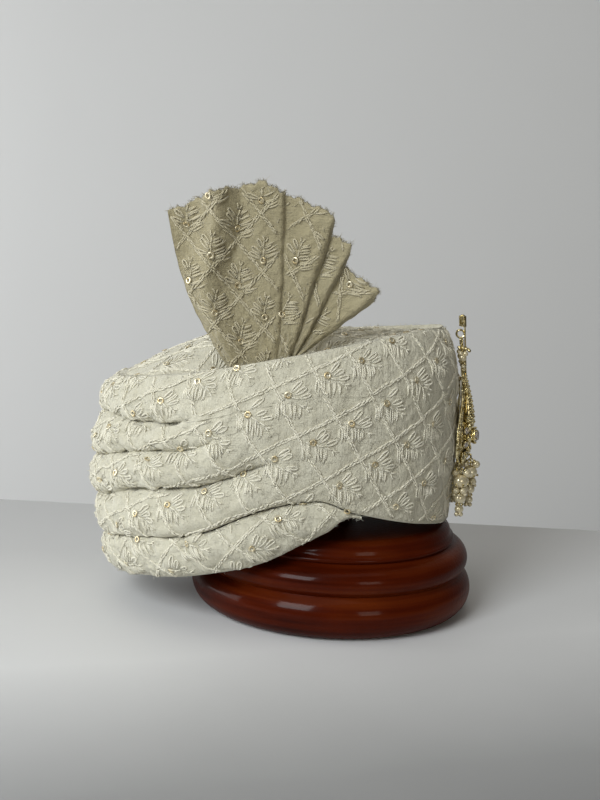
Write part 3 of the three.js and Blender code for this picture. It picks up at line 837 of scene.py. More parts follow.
def fold_columns(share):
    """Columns of points on the fold lines and evenly between them."""
    root, up, angle, reach, depth, bow, _ = (column[:, None] for column in FAN_FOLDS.T)
    x = root + share * reach * np.cos(np.radians(angle)) + bow * np.sin(np.pi * share)
    y = FAN_DEPTH + depth * mix(0.25, 1, share) - FAN_LEAN * share ** 1.3
    lines = np.stack([x, y, up + share * reach * np.sin(np.radians(angle))], -1)
    columns = []
    for here, ahead, steps in zip(lines, lines[1:], FAN_FOLDS[:-1, 6]):
        columns += [here + (ahead - here) * step / steps for step in range(int(steps))]
    return np.array([*columns, lines[-1]])


def fan_middle():
    share = np.linspace(0, 1, FAN_ROWS)
    columns = fold_columns(share[None, :])
    count = np.arange(FIRST_LEAF + 1)
    for height, depth in zip(share, columns[:FIRST_LEAF + 1, :, 1].T):
        power = 1 + CORNER_BEND * smooth(height, CORNER_FROM, CORNER_FULL)
        depth[:] = np.interp(FIRST_LEAF * (count / FIRST_LEAF) ** power, count, depth.copy())
    for _ in range(FAN_SOFTENING):
        columns[1:-1] = (columns[:-2] + 2 * columns[1:-1] + columns[2:]) / 4
    along = columns[:, -1] - columns[:, -2]
    along /= np.linalg.norm(along, axis=1, keepdims=True)
    count = np.arange(len(columns))
    ragged = sum(high * np.sin(count * pace + start) for high, pace, start in RAGGED)
    return columns + along[:, None] * ragged[:, None, None] * share[None, :, None] ** 4


fan_mid = fan_middle()
fan_runs = running_distance(fan_mid[:, FAN_ROWS // 2])
fan_map = np.stack([np.broadcast_to(fan_runs[:, None], fan_mid.shape[:2]), fan_mid[..., 2]], -1)
FAN_LATTICE = Lattice((-51.1, 232.0), (-16.5, 18.5), (14.5, 17.0))
fan_push = FAN_LATTICE.puff(fan_mid[..., [0, 2]]) * 0.8
fan_push = fan_push + 0.7 * wrinkles(fan_map[..., 0] * 2, fan_map[..., 1])
fan_normal = surface_normals(fan_mid, False)
flat_root = np.minimum(1, np.linspace(0, 14, FAN_ROWS))[None, :]
fan_mid = fan_mid + fan_normal * (fan_push * flat_root)[..., None]
fan_front, fan_back = fan_mid + fan_normal * FAN_THICK / 2, fan_mid - fan_normal * FAN_THICK / 2
fan = sheet_piece("fan_cloth", fan_front, fan_back, False, sheer_shaded, "turra_fan", fan_map)
fan_area = 0.5 * sum(face.area for face in fan.data.polygons)
print(f"fan cloth covers {fan_area:.4f} square metres")

# %% [markdown]
# Stitches are drawn flat first. A stitch is a short line of points with a lift off the cloth, a half width
# and a height, and stitches with the same number of points are kept together, so that numpy can lay
# hundreds of them at once. A little seeded unevenness makes them look sewn by hand.

# %% Drawing stitches
STRANDS = (-0.62, 0.62)  # two threads side by side
CORD_PACE, CORD_STITCH, CORD_SLANT, CORD_WIDE, CORD_SWAY = 3.7, 5.0, 0.1, 0.64, 0.05
BAR_SWAY, BAR_STRETCH, BAR_RISE, BAR_ARCH = 0.07, (0.86, 1.12), 0.08, 0.25
LOOP_SWAY, LOOP_STRETCH, LOOP_SPREAD, LOOP_HIGH = 0.09, (0.88, 1.12), (0.8, 1.2), 0.5
LOOP_OUT = np.array([0, 0.33, 0.68, 0.93, 1.0, 0.92, 0.66, 0.3, 0.03])
LOOP_SIDE = np.array([0.1, 0.36, 0.5, 0.36, 0, -0.36, -0.5, -0.36, -0.1])


class Needlework:
    def __init__(self, seed):
        self.dice, self.groups, self.sequins = np.random.default_rng(seed), {}, []

    def stitch(self, line, lift, wide, high):
        line = np.asarray(line, float)
        lift = np.broadcast_to(np.asarray(lift, float), len(line))
        self.groups.setdefault(len(line), []).append((line, lift, wide, high))

    def bar(self, start, direction, length, wide, lift=0.35, high=0.5, bend=0.05):
        direction = direction + self.dice.normal(0, BAR_SWAY)
        length = length * self.dice.uniform(*BAR_STRETCH)
        along = np.array([math.cos(direction), math.sin(direction)])
        aside = np.array([-along[1], along[0]]) * length * self.dice.normal(0, bend)
        t = np.linspace(0, 1, 4)[:, None]
        line = start + along * length * t + aside * (4 * t * (1 - t))
        lift = lift + self.dice.normal(0, BAR_RISE) + BAR_ARCH * np.array([-1, 1, 1, -1])
        self.stitch(line, lift, wide, high)

    def loop(self, start, direction, length, width, wide):
        direction = direction + self.dice.normal(0, LOOP_SWAY)
        length, width = length * self.dice.uniform(*LOOP_STRETCH), width * self.dice.uniform(*LOOP_SPREAD)
        out, side = LOOP_OUT * length, LOOP_SIDE * width
        c, s = math.cos(direction), math.sin(direction)
        line = start + np.stack([out * c - side * s, out * s + side * c], -1)
        self.stitch(line, 0.2 + 0.25 * out / length, wide, LOOP_HIGH)

    def cord(self, start, end):
        reach = np.asarray(end) - np.asarray(start)
        direction = math.atan2(reach[1], reach[0]) + CORD_SLANT
        count = max(2, round(np.linalg.norm(reach) / CORD_PACE))
        for k in range(count):
            middle = start + reach * (k + 0.5 + self.dice.normal(0, CORD_SWAY)) / count
            slant = direction + self.dice.normal(0, CORD_SWAY)
            along = np.array([math.cos(slant), math.sin(slant)])
            for strand in STRANDS:
                at = middle + np.array([-along[1], along[0]]) * strand - along * (CORD_STITCH / 2 + strand)
                self.bar(at, slant, CORD_STITCH, CORD_WIDE, lift=0.16, high=0.6, bend=0.02)


print("needle threaded")

# %% [markdown]
# The sprig in each cell of the lattice is a small fern: a ring sequin at its foot, a short stem, paired
# satin bars on one side, open loops on the other and two stitches at the tip. It is turned as a whole for
# cloth that was wound or pleated another way.

# %% Lattice and sprigs
SEQUIN_AT = np.array([-11.0, 3.2])
BARS = [  # across, up, length
    (-6.2, -1.8, 9.8), (-3.0, 0.3, 11.6), (1.3, -1.8, 11.0), (4.9, -2.8, 9.6), (8.4, -4.6, 7.0)]
LOOPS = [(1.4, 1.2, 47, 9.4), (4.4, -0.2, 30, 8.4), (7.6, -2.2, 14, 7.6)]  # across, up, direction, length
STEMS = [  # across, up, direction, length
    (-4.5, 0.2, -12, 7.0), (1.0, -0.8, -22, 7.5), (7.6, -3.4, -28, 6.0), (12.2, -5.4, -8, 4.6),
    (12.0, -5.6, -52, 4.2)]
BAR_WAY, LOOP_WIDE, FLUFF = math.radians(86), 2.5, 9  # FLUFF is the number of thin loose stitches


def sprig(work, centre, turned=0.0, scale=1.0):
    lean = math.radians(turned) + work.dice.normal(0, 0.05)
    spin = scale * np.array([[math.cos(lean), -math.sin(lean)], [math.sin(lean), math.cos(lean)]])
    sequin = centre + spin @ (SEQUIN_AT + work.dice.normal(0, 0.35, 2))
    work.sequins.append(sequin)
    for across, up, length in BARS:
        for strand in STRANDS:
            start = sequin + spin @ (across + strand, up + work.dice.normal(0, 0.4))
            work.bar(start, lean - BAR_WAY, length * scale, wide=0.7, lift=0.2, high=0.55)
    for across, up, direction, length in LOOPS:
        start = sequin + spin @ (across, up)
        work.loop(start, lean + math.radians(direction), length * scale, LOOP_WIDE * scale, wide=0.68)
    for across, up, direction, length in STEMS:
        start = sequin + spin @ (across, up)
        work.bar(start, lean + math.radians(direction), length * scale, wide=0.62, lift=0.22)
    for _ in range(FLUFF):
        start = sequin + spin @ (work.dice.uniform(-6, 14), work.dice.normal(-3, 4))
        way = lean + work.dice.normal(-0.4, 1.0)
        length = work.dice.uniform(3, 6) * scale
        work.bar(start, way, length, wide=0.24, lift=0.2, high=0.24, bend=0.16)


def lattice_work(lattice, seed, inside, turned=0.0, scale=1.0, span=40):
    """Cords and sprigs of all cells whose node passes the test."""
    cords, sprigs = Needlework(seed), Needlework(seed + 1)
    i, j = np.meshgrid(np.arange(-span, span), np.arange(-span, span), indexing="ij")
    spots = lattice.spot(i.ravel(), j.ravel())
    for spot in spots[inside(spots)]:
        for side in lattice.sides:
            cords.cord(spot, spot + side)
        sprig(sprigs, spot + lattice.sides.sum(0) / 2, turned, scale)
    return cords, sprigs


WRAP_BAND = (10, 225)  # heights between which cells are drawn


def on_wrap(at):
    low, high = WRAP_BAND
    return (at[:, 0] >= 0) & (at[:, 0] < ROUND - 1e-6) & (at[:, 1] > low) & (at[:, 1] < high)


panel_cords, panel_sprigs = lattice_work(PANEL_LATTICE, 5, on_wrap)
print(f"{len(panel_sprigs.sequins)} cells drawn for the wrap")

# %% [markdown]
# Laying a stitch means asking the cloth for the point and normal under each of its drawn points. On the
# rolls the answer depends on the roll, so each roll takes the stitches whose middle lies on it. Every
# stitch then becomes a thin closed tube that is narrower at its ends.

# %% Laying stitches on cloth
STITCH_SIDES, STITCH_END, HEM_CLEAR = 5, 0.45, 0.8


def roll_levels(cloth, grid, ranges):
    """For each roll: cloth distance of its lower and upper edge, and the height of its middle."""
    return [(cloth.up[:, low], cloth.up[:, high], (grid[:, low, 2] + grid[:, high, 2]) / 2)
            for low, high in ranges]


def lay_on_rolls(cloth, rolls, line):
    """Points, normals and the kept rows for flat lines of shape (count, points, 2)."""
    column = cloth.column(line[..., 0])
    total = cloth.read(cloth.length, column)
    levels, margins = [], []
    for roll in rolls:
        low, high, middle = (cloth.read(table, column) for table in roll)
        up = line[..., 1] - middle + (low + high) / 2
        margins.append(np.minimum(up.mean(1) - low.mean(1), high.mean(1) - up.mean(1)))
        levels.append(up)
    best = np.argmax(margins, axis=0)
    up = np.array(levels)[best, np.arange(len(line))]
    fits = (np.max(margins, axis=0) > 0) & ((up > HEM_CLEAR) & (up < total - HEM_CLEAR)).all(1)
    if not cloth.closed:
        first, last = cloth.around[0] + 1, cloth.around[-1] - 1
        fits &= ((line[..., 0] > first) & (line[..., 0] < last)).all(1)
    kept = np.flatnonzero(fits)
    return *cloth.at(line[kept][..., 0], up[kept]), kept


def stitch_tubes(points, normals, lift, wide, high):
    """Closed tubes round rows of points: their points, side faces, end faces and lengths run."""
    count, length = points.shape[:2]
    centre = points + normals * lift[..., None]
    run = np.gradient(centre, axis=1)
    run /= np.maximum(np.linalg.norm(run, axis=-1, keepdims=True), 1e-9)
    side = np.cross(run, normals)
    side /= np.maximum(np.linalg.norm(side, axis=-1, keepdims=True), 1e-9)
    upward = np.cross(side, run)
    taper = np.ones(length)
    taper[[0, -1]] = STITCH_END
    angle = np.arange(STITCH_SIDES) * 2 * math.pi / STITCH_SIDES
    spread = (taper * wide[:, None])[..., None, None] * np.cos(angle)[:, None]
    rise = (taper * high[:, None])[..., None, None] * np.sin(angle)[:, None]
    tube = centre[:, :, None] + side[:, :, None] * spread + upward[:, :, None] * rise
    ring = np.arange(STITCH_SIDES)
    base = (np.arange(count)[:, None, None] * length + np.arange(length - 1)[None, :, None]) * STITCH_SIDES
    after = (ring + 1) % STITCH_SIDES
    sides = np.stack(np.broadcast_arrays(base + ring, base + after, base + STITCH_SIDES + after,
                                         base + STITCH_SIDES + ring), -1).reshape(-1, 4)
    first = np.arange(count)[:, None] * length * STITCH_SIDES
    ends = np.concatenate([first + ring[::-1], first + (length - 1) * STITCH_SIDES + ring])
    runs = np.repeat(running_distance(centre, 1).ravel(), STITCH_SIDES)
    return tube.reshape(-1, 3), sides, ends, runs


def tube_piece(name, tubes, material):
    """One mesh for all tubes, with a map of the length run and the way round."""
    points, sides, ends, runs = tubes
    corner = np.concatenate([sides.ravel(), ends.ravel()])
    corner_map = np.stack([runs[corner], (corner % STITCH_SIDES) / STITCH_SIDES], -1)
    faces = [*sides.tolist(), *ends.tolist()]
    return make_piece(name, points, faces, material, "cloth", corner_map=corner_map)


def sew_piece(name, *works, thread=floss):
    """All stitches of some works; each work comes with the function that lays it."""
    tubes, start = [], 0
    for group, lay in ((group, lay) for work, lay in works for group in work.groups.values()):
        line, lift, wide, high = (np.array(part) for part in zip(*group))
        place, normal, kept = lay(line)
        if len(kept):
            points, sides, ends, runs = stitch_tubes(place, normal, lift[kept], wide[kept], high[kept])
            tubes.append((points, sides + start, ends + start, runs))
            start += len(points)
    return tube_piece(name, [np.concatenate(part) for part in zip(*tubes)], thread)


lay_wrap = partial(lay_on_rolls, wrap_cloth, roll_levels(wrap_cloth, outer, roll_ranges))
sew_piece("wrap_cords", (panel_cords, lay_wrap))
sew_piece("wrap_sprigs", (panel_sprigs, lay_wrap))

# %% [markdown]
# Each sequin is a thin gilt ring held flat on the cloth. A ring of rings, flattened and tipped a little at
# random, catches the light unevenly, which is what makes sequins twinkle.

# %% Sequins
SEQUIN = {"middle": 1.65, "wire": 0.62, "thick": 0.26, "lift": 1.15, "tip": 0.16, "round": 16, "sides": 6}
SEQUIN_SPIN = np.array([0.3, 0.2, 0.93])  # any direction that no sequin faces


def sequin_rings(name, *works):
    laid = [lay(np.array(work.sequins)[:, None]) for work, lay in works]
    place, normal = (np.concatenate([part[k] for part in laid])[:, 0] for k in (0, 1))
    normal = normal + works[0][0].dice.normal(0, SEQUIN["tip"], normal.shape)
    normal /= np.linalg.norm(normal, axis=1, keepdims=True)
    right = np.cross(normal, SEQUIN_SPIN)
    right /= np.linalg.norm(right, axis=1, keepdims=True)
    ahead = np.cross(normal, right)
    columns, rows = SEQUIN["round"], SEQUIN["sides"]
    big, small = (np.arange(count) * 2 * math.pi / count for count in (columns, rows))
    reach = SEQUIN["middle"] + SEQUIN["wire"] * np.cos(small)
    rise = np.broadcast_to(SEQUIN["thick"] * np.sin(small) + SEQUIN["lift"], (columns, rows))
    rings = (place[:, None, None] + right[:, None, None] * (np.cos(big)[:, None] * reach)[None, ..., None]
             + ahead[:, None, None] * (np.sin(big)[:, None] * reach)[None, ..., None]
             + normal[:, None, None] * rise[None, ..., None])
    faces = [grid_faces(columns, rows, True, True, k * columns * rows) for k in range(len(place))]
    return make_piece(name, rings.reshape(-1, 3), np.concatenate(faces), sequin_gold, "gold")


sequin_rings("wrap_sequins", (panel_sprigs, lay_wrap))

# %% [markdown]
# The lowest roll gets the same work from its turned lattice.

# %% Work on the lowest roll
ROLL_BAND, ROLL_MARGIN = (-15, 130), 20  # heights, and how far past its tips


def on_roll(at):
    low, high = ROLL_BAND
    return (np.abs(at[:, 0]) < half_round + ROLL_MARGIN) & (at[:, 1] > low) & (at[:, 1] < high)


roll_cords, roll_sprigs = lattice_work(ROLL_LATTICE, 15, on_roll, ROLL_SLANT)
lay_roll = partial(lay_on_rolls, roll_cloth, roll_levels(roll_cloth, roll_outer, [(0, ROLL_ROWS)]))
sew_piece("roll_cords", (roll_cords, lay_roll))
sew_piece("roll_sprigs", (roll_sprigs, lay_roll))
sequin_rings("roll_sequins", (roll_sprigs, lay_roll))

# %% [markdown]
# On the fan and the crown the drawing lies in a plain plane, and each point is dropped straight onto the
# sheet: from the front or the back for the fan, from above for the crown. A tree of the sheet's faces
# answers where the drop lands. The fan's four leaves are leaned more and more, and so is their pattern.

# %% Work on the fan and the crown
def drop_on(grid, lift_to, way):
    faces = grid_faces(*grid.shape[:2]).tolist()
    tree = BVHTree.FromPolygons([Vector(point) for point in grid.reshape(-1, 3)], faces)
    way = Vector(way)

    def lay(line):
        points, normals, kept = [], [], []
        for row, flat in enumerate(line):
            hits = [tree.ray_cast(lift_to(a, b), way) for a, b in flat]
            if all(hit[0] is not None for hit in hits):
                points.append([hit[0][:] for hit in hits])
                normals.append([(hit[1] if hit[1].dot(way) < 0 else -hit[1])[:] for hit in hits])
                kept.append(row)
        return *(np.array(part).reshape(-1, line.shape[1], 3) for part in (points, normals)), kept

    return lay


LEAVES = [(0, 68, 0.0), (75, 100, -16.0), (107, 124, -28.0), (131, 154, -45.0)]  # first, last column, lean
LEAN_ABOUT = np.array([-40.0, 168.0])
CELLS_BELOW, CELLS_ABOVE = 40, 26  # margins round a leaf in which cells are drawn
FAN_SPRIG_TURN, FAN_SPRIG_SIZE, CROWN_TURN = 110, 0.86, 40
AHEAD, BEHIND, OVERHEAD = -200, 100, 300  # where the drops start
fan_works = {"cords": [], "sprigs": [], "back_cords": [], "back_sprigs": []}
for number, (first, last, lean) in enumerate(LEAVES):
    leaf_start = (FAN_LATTICE.start - LEAN_ABOUT) @ spin_matrix(lean) + LEAN_ABOUT
    leaf_lattice = turned_lattice(FAN_LATTICE, lean, leaf_start)
    reach = fan_front[first:last + 1].reshape(-1, 3)[:, [0, 2]]
    low, high = reach.min(0) - CELLS_BELOW, reach.max(0) + CELLS_ABOVE
    leaf_cords, leaf_sprigs = lattice_work(
        leaf_lattice, 31 + 4 * number, lambda at: ((at > low) & (at < high)).all(1),
        FAN_SPRIG_TURN + lean, FAN_SPRIG_SIZE, 14)
    front = drop_on(fan_front[first:last + 1], lambda a, b: Vector((a, AHEAD, b)), (0, 1, 0))
    behind = drop_on(fan_back[first:last + 1], lambda a, b: Vector((a, BEHIND, b)), (0, -1, 0))
    fan_works["cords"].append((leaf_cords, front))
    fan_works["sprigs"].append((leaf_sprigs, front))
    fan_works["back_cords"].append((leaf_cords, behind))
    fan_works["back_sprigs"].append((leaf_sprigs, behind))
fan_pieces = [sew_piece(f"fan_{kind}", *works, thread=sheer_shaded_floss) for kind, works in fan_works.items()]
fan_pieces.append(sequin_rings("fan_sequins", *fan_works["sprigs"]))

CROWN_MIDDLE, CROWN_REACH = np.array([-40.0, 0.0]), np.array([126.0, 102.0])
crown_cords, crown_sprigs = lattice_work(
    turned_lattice(PANEL_LATTICE, CROWN_TURN, (-60.0, 10.0)), 71,
    lambda at: ((at - CROWN_MIDDLE) ** 2 / CROWN_REACH ** 2).sum(1) < 1, CROWN_TURN, 1.0, 12)
crown_closed = np.concatenate([crown_top, crown_top[:1]])
lay_crown = drop_on(crown_closed, lambda a, b: Vector((a, b, OVERHEAD)), (0, 0, -1))
crown_pieces = [sew_piece("crown_cords", (crown_cords, lay_crown)),
                sew_piece("crown_sprigs", (crown_sprigs, lay_crown)),
                sequin_rings("crown_sequins", (crown_sprigs, lay_crown))]

# %% [markdown]
# Worn and handled cloth is never clean at its edges. Short loose fibres stand out from the raw edges of
# the fan, from the hems and all over the rolls, and they soften every outline. They are the same closed
# tubes as the stitches, only hair thin, and grow from seeded spots in seeded directions.

# %% Loose fibres
FIBRE_OUT, FIBRE_SWAY, FIBRE_TURN, FIBRE_CURL = (0.4, 1.0), 0.9, 0.25, 0.3
FIBRE_LONG, FIBRE_THIN = (0.4, 1.2), (0.07, 0.13)
fibre_dice = np.random.default_rng(91)


def fibre_piece(name, spots, out, along, length, material):
    """Curved hairs from spots, leaning out of the cloth and along it."""
    count = len(spots)
    way = out * fibre_dice.uniform(*FIBRE_OUT, (count, 1))
    way = way + along * fibre_dice.normal(0, FIBRE_SWAY, (count, 1))
    way = way + fibre_dice.normal(0, FIBRE_TURN, (count, 3))
    way = way * (length * fibre_dice.uniform(*FIBRE_LONG, count))[:, None]
    curl = fibre_dice.normal(0, FIBRE_CURL * length, (count, 3))
    t = np.linspace(0, 1, 4)[None, :, None]
    lines = spots[:, None] + way[:, None] * t + curl[:, None] * t * t
    side = np.broadcast_to(np.cross(way, fibre_dice.normal(size=(count, 3)))[:, None], lines.shape)
    thin = fibre_dice.uniform(*FIBRE_THIN, count)
    return tube_piece(name, stitch_tubes(lines, side, np.zeros((count, 4)), thin, thin), material)


def pick(grid, normals, count, columns, rows):
    """Seeded spots on a grid of points, with the normal and the way along the columns there."""
    i, j = fibre_dice.choice(columns, count), fibre_dice.choice(rows, count)
    along = np.gradient(grid, axis=0)[i, j]
    return grid[i, j], normals[i, j], along / np.linalg.norm(along, axis=1, keepdims=True)


def hem_fibres(grid, normals, count, row, columns):
    """Fibres at one row of a grid that stand out across its edge."""
    spots, normal, along = pick(grid, normals, count, columns, [row])
    return spots, np.cross(normal, along) * (1 if row else -1) + 0.3 * normal, along


rows = Cloth.ROWS
NEAR_MIDDLE = 330  # half way along the near side, from the back to the front
near = np.flatnonzero(np.abs(wrap_cloth.around - NEAR_MIDDLE) < NEAR_MIDDLE)
fuzz = [pick(wrap_cloth.points, wrap_cloth.normals, 2600, near, np.arange(20, rows - 4)),
        pick(roll_cloth.points, roll_cloth.normals, 800, np.arange(ROLL_COLUMNS), np.arange(20, rows - 20)),
        hem_fibres(wrap_cloth.points, wrap_cloth.normals, 500, 4, np.flatnonzero(np.abs(turn) > 112)),
        hem_fibres(roll_cloth.points, roll_cloth.normals, 420, 40, np.arange(60, ROLL_COLUMNS)),
        hem_fibres(wrap_cloth.points, wrap_cloth.normals, 420, rows - 6, near)]
fuzz = [np.concatenate(parts) for parts in zip(*fuzz)]
fibre_piece("wrap_fibres", *fuzz, length=2.0, material=floss)
fan_edge = hem_fibres(fan_mid, fan_normal, 900, FAN_ROWS - 1, np.arange(len(fan_mid)))
fibre_piece("fan_fibres", *fan_edge, length=1.7, material=sheer_shaded_floss)

# %% [markdown]
# The brooch is small, so it is drawn flat as across, up and out, and then bent onto the turban's front. Its
# metalwork is many little closed shells: balls, rings and bent wires. One collector gathers their points
# and faces, so that a whole layer of the brooch becomes a single piece.

# %% Small metal shells
class Shells:
    def __init__(self):
        self.points, self.faces, self.count = [], [], 0

    def add(self, points, faces):
        self.points.append(np.asarray(points, float))
        self.faces += [[index + self.count for index in face] for face in faces]
        self.count += len(self.points[-1])

    def ball(self, centre, radius, sides=14, rings=9):
        angle = np.linspace(0.02, math.pi - 0.02, rings)
        points, faces = turned(np.stack([np.sin(angle), -np.cos(angle)], 1), sides)
        self.add(points * radius + np.asarray(centre), faces)

    def wire(self, path, radius, closed=False, sides=7):
        path = np.asarray(path, float)
        run = np.roll(path, -1, 0) - np.roll(path, 1, 0) if closed else np.gradient(path, axis=0)
        run /= np.linalg.norm(run, axis=1, keepdims=True)
        flat = np.cross(run, np.where(np.abs(run[:, 2:]) > 0.9, [[1.0, 0, 0]], [[0, 0, 1.0]]))
        flat /= np.linalg.norm(flat, axis=1, keepdims=True)
        angle = np.arange(sides)[:, None] * 2 * math.pi / sides
        outward = np.cos(angle) * flat[:, None] + np.sin(angle) * np.cross(run, flat)[:, None]
        faces = grid_faces(len(path), sides, True, True) if closed else tube_faces(len(path), sides)
        self.add((path[:, None] + radius * outward).reshape(-1, 3), [face[::-1] for face in faces])

    def ring(self, centre, wide, high, radius, plane=(0, 1), count=28):
        angle = np.arange(count) * 2 * math.pi / count
        path = np.tile(np.asarray(centre, float), (count, 1))
        path[:, plane[0]] += wide * np.cos(angle)
        path[:, plane[1]] += high * np.sin(angle)
        self.wire(path, radius, True)

    def spun(self, profile, centre, sides=32):
        points, faces = turned(profile, sides)
        self.add(points + np.asarray(centre), faces)

    def place(self, shells, axes, spot):
        """Take in other shells, turned so that their own axes lie along the given ones."""
        self.add(np.concatenate(shells.points) @ np.asarray(axes) + np.asarray(spot), shells.faces)

    def piece(self, name, material, slot, node=None, sharp=None):
        points = on_front(np.concatenate(self.points))
        return make_piece(name, points, self.faces, material, slot, node, sharp=sharp)


FRONT, FRONT_CURVE = OUTSIDE[0] + OUTSIDE[1], OUTSIDE[1] / (2 * OUTSIDE[2] ** 2)
LEAN_FROM, LEAN_SLOPE = 150, 0.085


def on_front(points):
    """Bend points that are drawn flat round the front, which leans back at its top."""
    across, up, out = np.asarray(points).T
    lean = LEAN_SLOPE * np.maximum(up - LEAN_FROM, 0)
    return np.stack([FRONT + out - lean - FRONT_CURVE * across ** 2, across, up], -1)


print("metal shells ready")

# %% [markdown]
# The backplate is sawn from sheet: a pear shape with a stem, ten oval openings and one slot. Its outline is
# drawn for one half with four curves, each by two handles and its end, and then mirrored. A filled
# curve gives clean holes and a rounded edge. Its flat faces are then sliced into strips, because a wide
# face could not follow the bend of the turban.

# %% Brooch backplate
PLATE_OUT, PLATE_THICK = 2.6, 1.4
FACE, BOSS_UP = PLATE_OUT + PLATE_THICK, 122.0
STEM_HALF, STEM_TOP, STEM_FOOT, PLATE_LOW = 2.0, 189.0, 172.0, 99.0
PLATE_CURVES = [  # leave, arrive, end
    ((3, 170), (4, 160), (10, 150)),
    ((20, 138), (28, 130), (27, 118)),
    ((26, 106), (18, 103), (12, 104)),
    ((8, 105), (6, 100), (0, PLATE_LOW)),
]


def plate_outline(steps=14):
    half, start = [(STEM_HALF, STEM_TOP)], np.array([STEM_HALF, STEM_FOOT])
    t = np.linspace(0, 1, steps, endpoint=False)[:, None]
    for leave, arrive, end in np.array(PLATE_CURVES, float):
        curve = start * (1 - t) ** 3 + 3 * leave * t * (1 - t) ** 2
        half += map(tuple, curve + 3 * arrive * t ** 2 * (1 - t) + end * t ** 3)
        start = end
    return np.array(half + [(0.0, PLATE_LOW)] + [(-across, up) for across, up in half[::-1]])


def oval_path(across, up, wide, high, count=20):
    angle = np.arange(count) * 2 * math.pi / count
    return np.stack([across + wide * np.cos(angle), up + high * np.sin(angle)], -1)


GAPS, GAP_RING, GAP_SIZE, STEM_SLOT = 10, (18, 17.5), (2.0, 2.9), (0, 151, 1.8, 5.0)
gap_ovals = []
for angle in math.pi / 2 + 2 * math.pi * np.arange(GAPS) / GAPS:
    gap_at = (GAP_RING[0] * math.cos(angle), BOSS_UP + GAP_RING[1] * math.sin(angle))
    gap_ovals.append((*gap_at, *GAP_SIZE))


def sawn_plate(outline, holes, bevel=0.3):
    curve = bpy.data.curves.new("sawn", "CURVE")
    curve.dimensions, curve.fill_mode = "2D", "BOTH"
    curve.extrude, curve.offset = PLATE_THICK / 2 - bevel, -bevel
    curve.bevel_depth, curve.bevel_resolution = bevel, 2
    for path in (outline, *holes):
        spline = curve.splines.new("POLY")
        spline.points.add(len(path) - 1)
        flat_weight = np.tile([0.0, 1.0], (len(path), 1))
        spline.points.foreach_set("co", np.concatenate([path, flat_weight], 1).ravel())
        spline.use_cyclic_u = True
    sawn = bpy.data.objects.new("sawn", curve)
    mesh = bpy.data.meshes.new_from_object(sawn)
    shape = bmesh.new()
    shape.from_mesh(mesh)
    bmesh.ops.remove_doubles(shape, verts=shape.verts, dist=1e-4)
    for across in range(-27, 28, 3):
        everything = [*shape.verts, *shape.edges, *shape.faces]
        bmesh.ops.bisect_plane(shape, geom=everything, plane_co=(across, 0, 0), plane_no=(1, 0, 0))
    shape.verts.index_update()
    points = np.array([vert.co[:] for vert in shape.verts])
    faces = [[vert.index for vert in face.verts] for face in shape.faces]
    shape.free()
    bpy.data.objects.remove(sawn)
    bpy.data.curves.remove(curve)
    bpy.data.meshes.remove(mesh)
    return points + [0, 0, PLATE_OUT + PLATE_THICK / 2], faces


frame_metal = Shells()
frame_metal.add(*sawn_plate(plate_outline(), [oval_path(*gap) for gap in (*gap_ovals, STEM_SLOT)]))
print(f"backplate of {frame_metal.count} points")

# %% [markdown]
# On the plate stand a domed boss with eight petals and a raised leaf that climbs to it from the stem. Above
# are the bail ring and a small finial, behind is the pin, and below are the loops for the pearl drops.

# %% Boss, leaf, bail, pin and loops
LEAF_UP, LEAF_OUT = [129, 138, 152, 169], [8.2, 7.6, 6.0, 3.9]
LEAF_WIDE, LEAF_DEEP = [8.0, 7.8, 5.5, 1.2], [4.6, 4.2, 2.6, 0.9]
LEAF_RINGS, LEAF_SIDES, PETALS, SIDES = 26, 24, 8, (-1, 1)
BAIL, BAIL_EYE, FINIAL = (0, 191.7, 2.8), (0, 187.2, 2.6), (0, 204.2, 4.6)
PIN_OUT, PIN_REACH, PIN_STUDS = 1.3, (118, 162), (119, 161)
BOTTOM_LOBE_UP, SIDE_LOBE_UP, SIDE_LOBE_ACROSS = 109.2, 108, 13
HANGER = [(0, 112, 5.6), (0, 110.6, 8), (0, 109, 10), (0, 107.8, 12)]  # of the middle drop


def leaf_at(up):
    """How far out the leaf lies at a height, and how wide and deep it is there."""
    return [np.interp(up, LEAF_UP, column) for column in (LEAF_OUT, LEAF_WIDE, LEAF_DEEP)]


collet = [(4.2, 0), (5.2, 0.3), (5.5, 1.2), (5.85, 1.9), (5.85, 2.3), (5.45, 2.45)]
frame_metal.spun(collet, (0, BOSS_UP, FACE + 7.0), 32)
dome = [(13, 0), (13, 1), (12.4, 1.6), (11, 3.2), (9, 5), (7.4, 6.4), (5.9, 7.2), (5.5, 7.5), (0.4, 7.5)]
frame_metal.spun(dome, (0, BOSS_UP, FACE - 0.2), 48)
petal = Shells()
petal.ball((0, 0, 0), (5.2, 3.2, 2.4), 18, 11)
petal.wire([(x, 0, 2.55 * math.sqrt(max(0, 1 - (x / 5.6) ** 2))) for x in np.linspace(-3.6, 4.2, 9)], 0.34)
for k in range(PETALS):
    spin = Matrix.Rotation(k * math.pi / 4, 3, "Z")
    tilt, lift = spin @ Matrix.Rotation(-0.35, 3, "Y"), spin @ Vector((8.6, 0, 4))
    frame_metal.place(petal, np.array(tilt).T, np.array(lift) + [0, BOSS_UP, FACE])

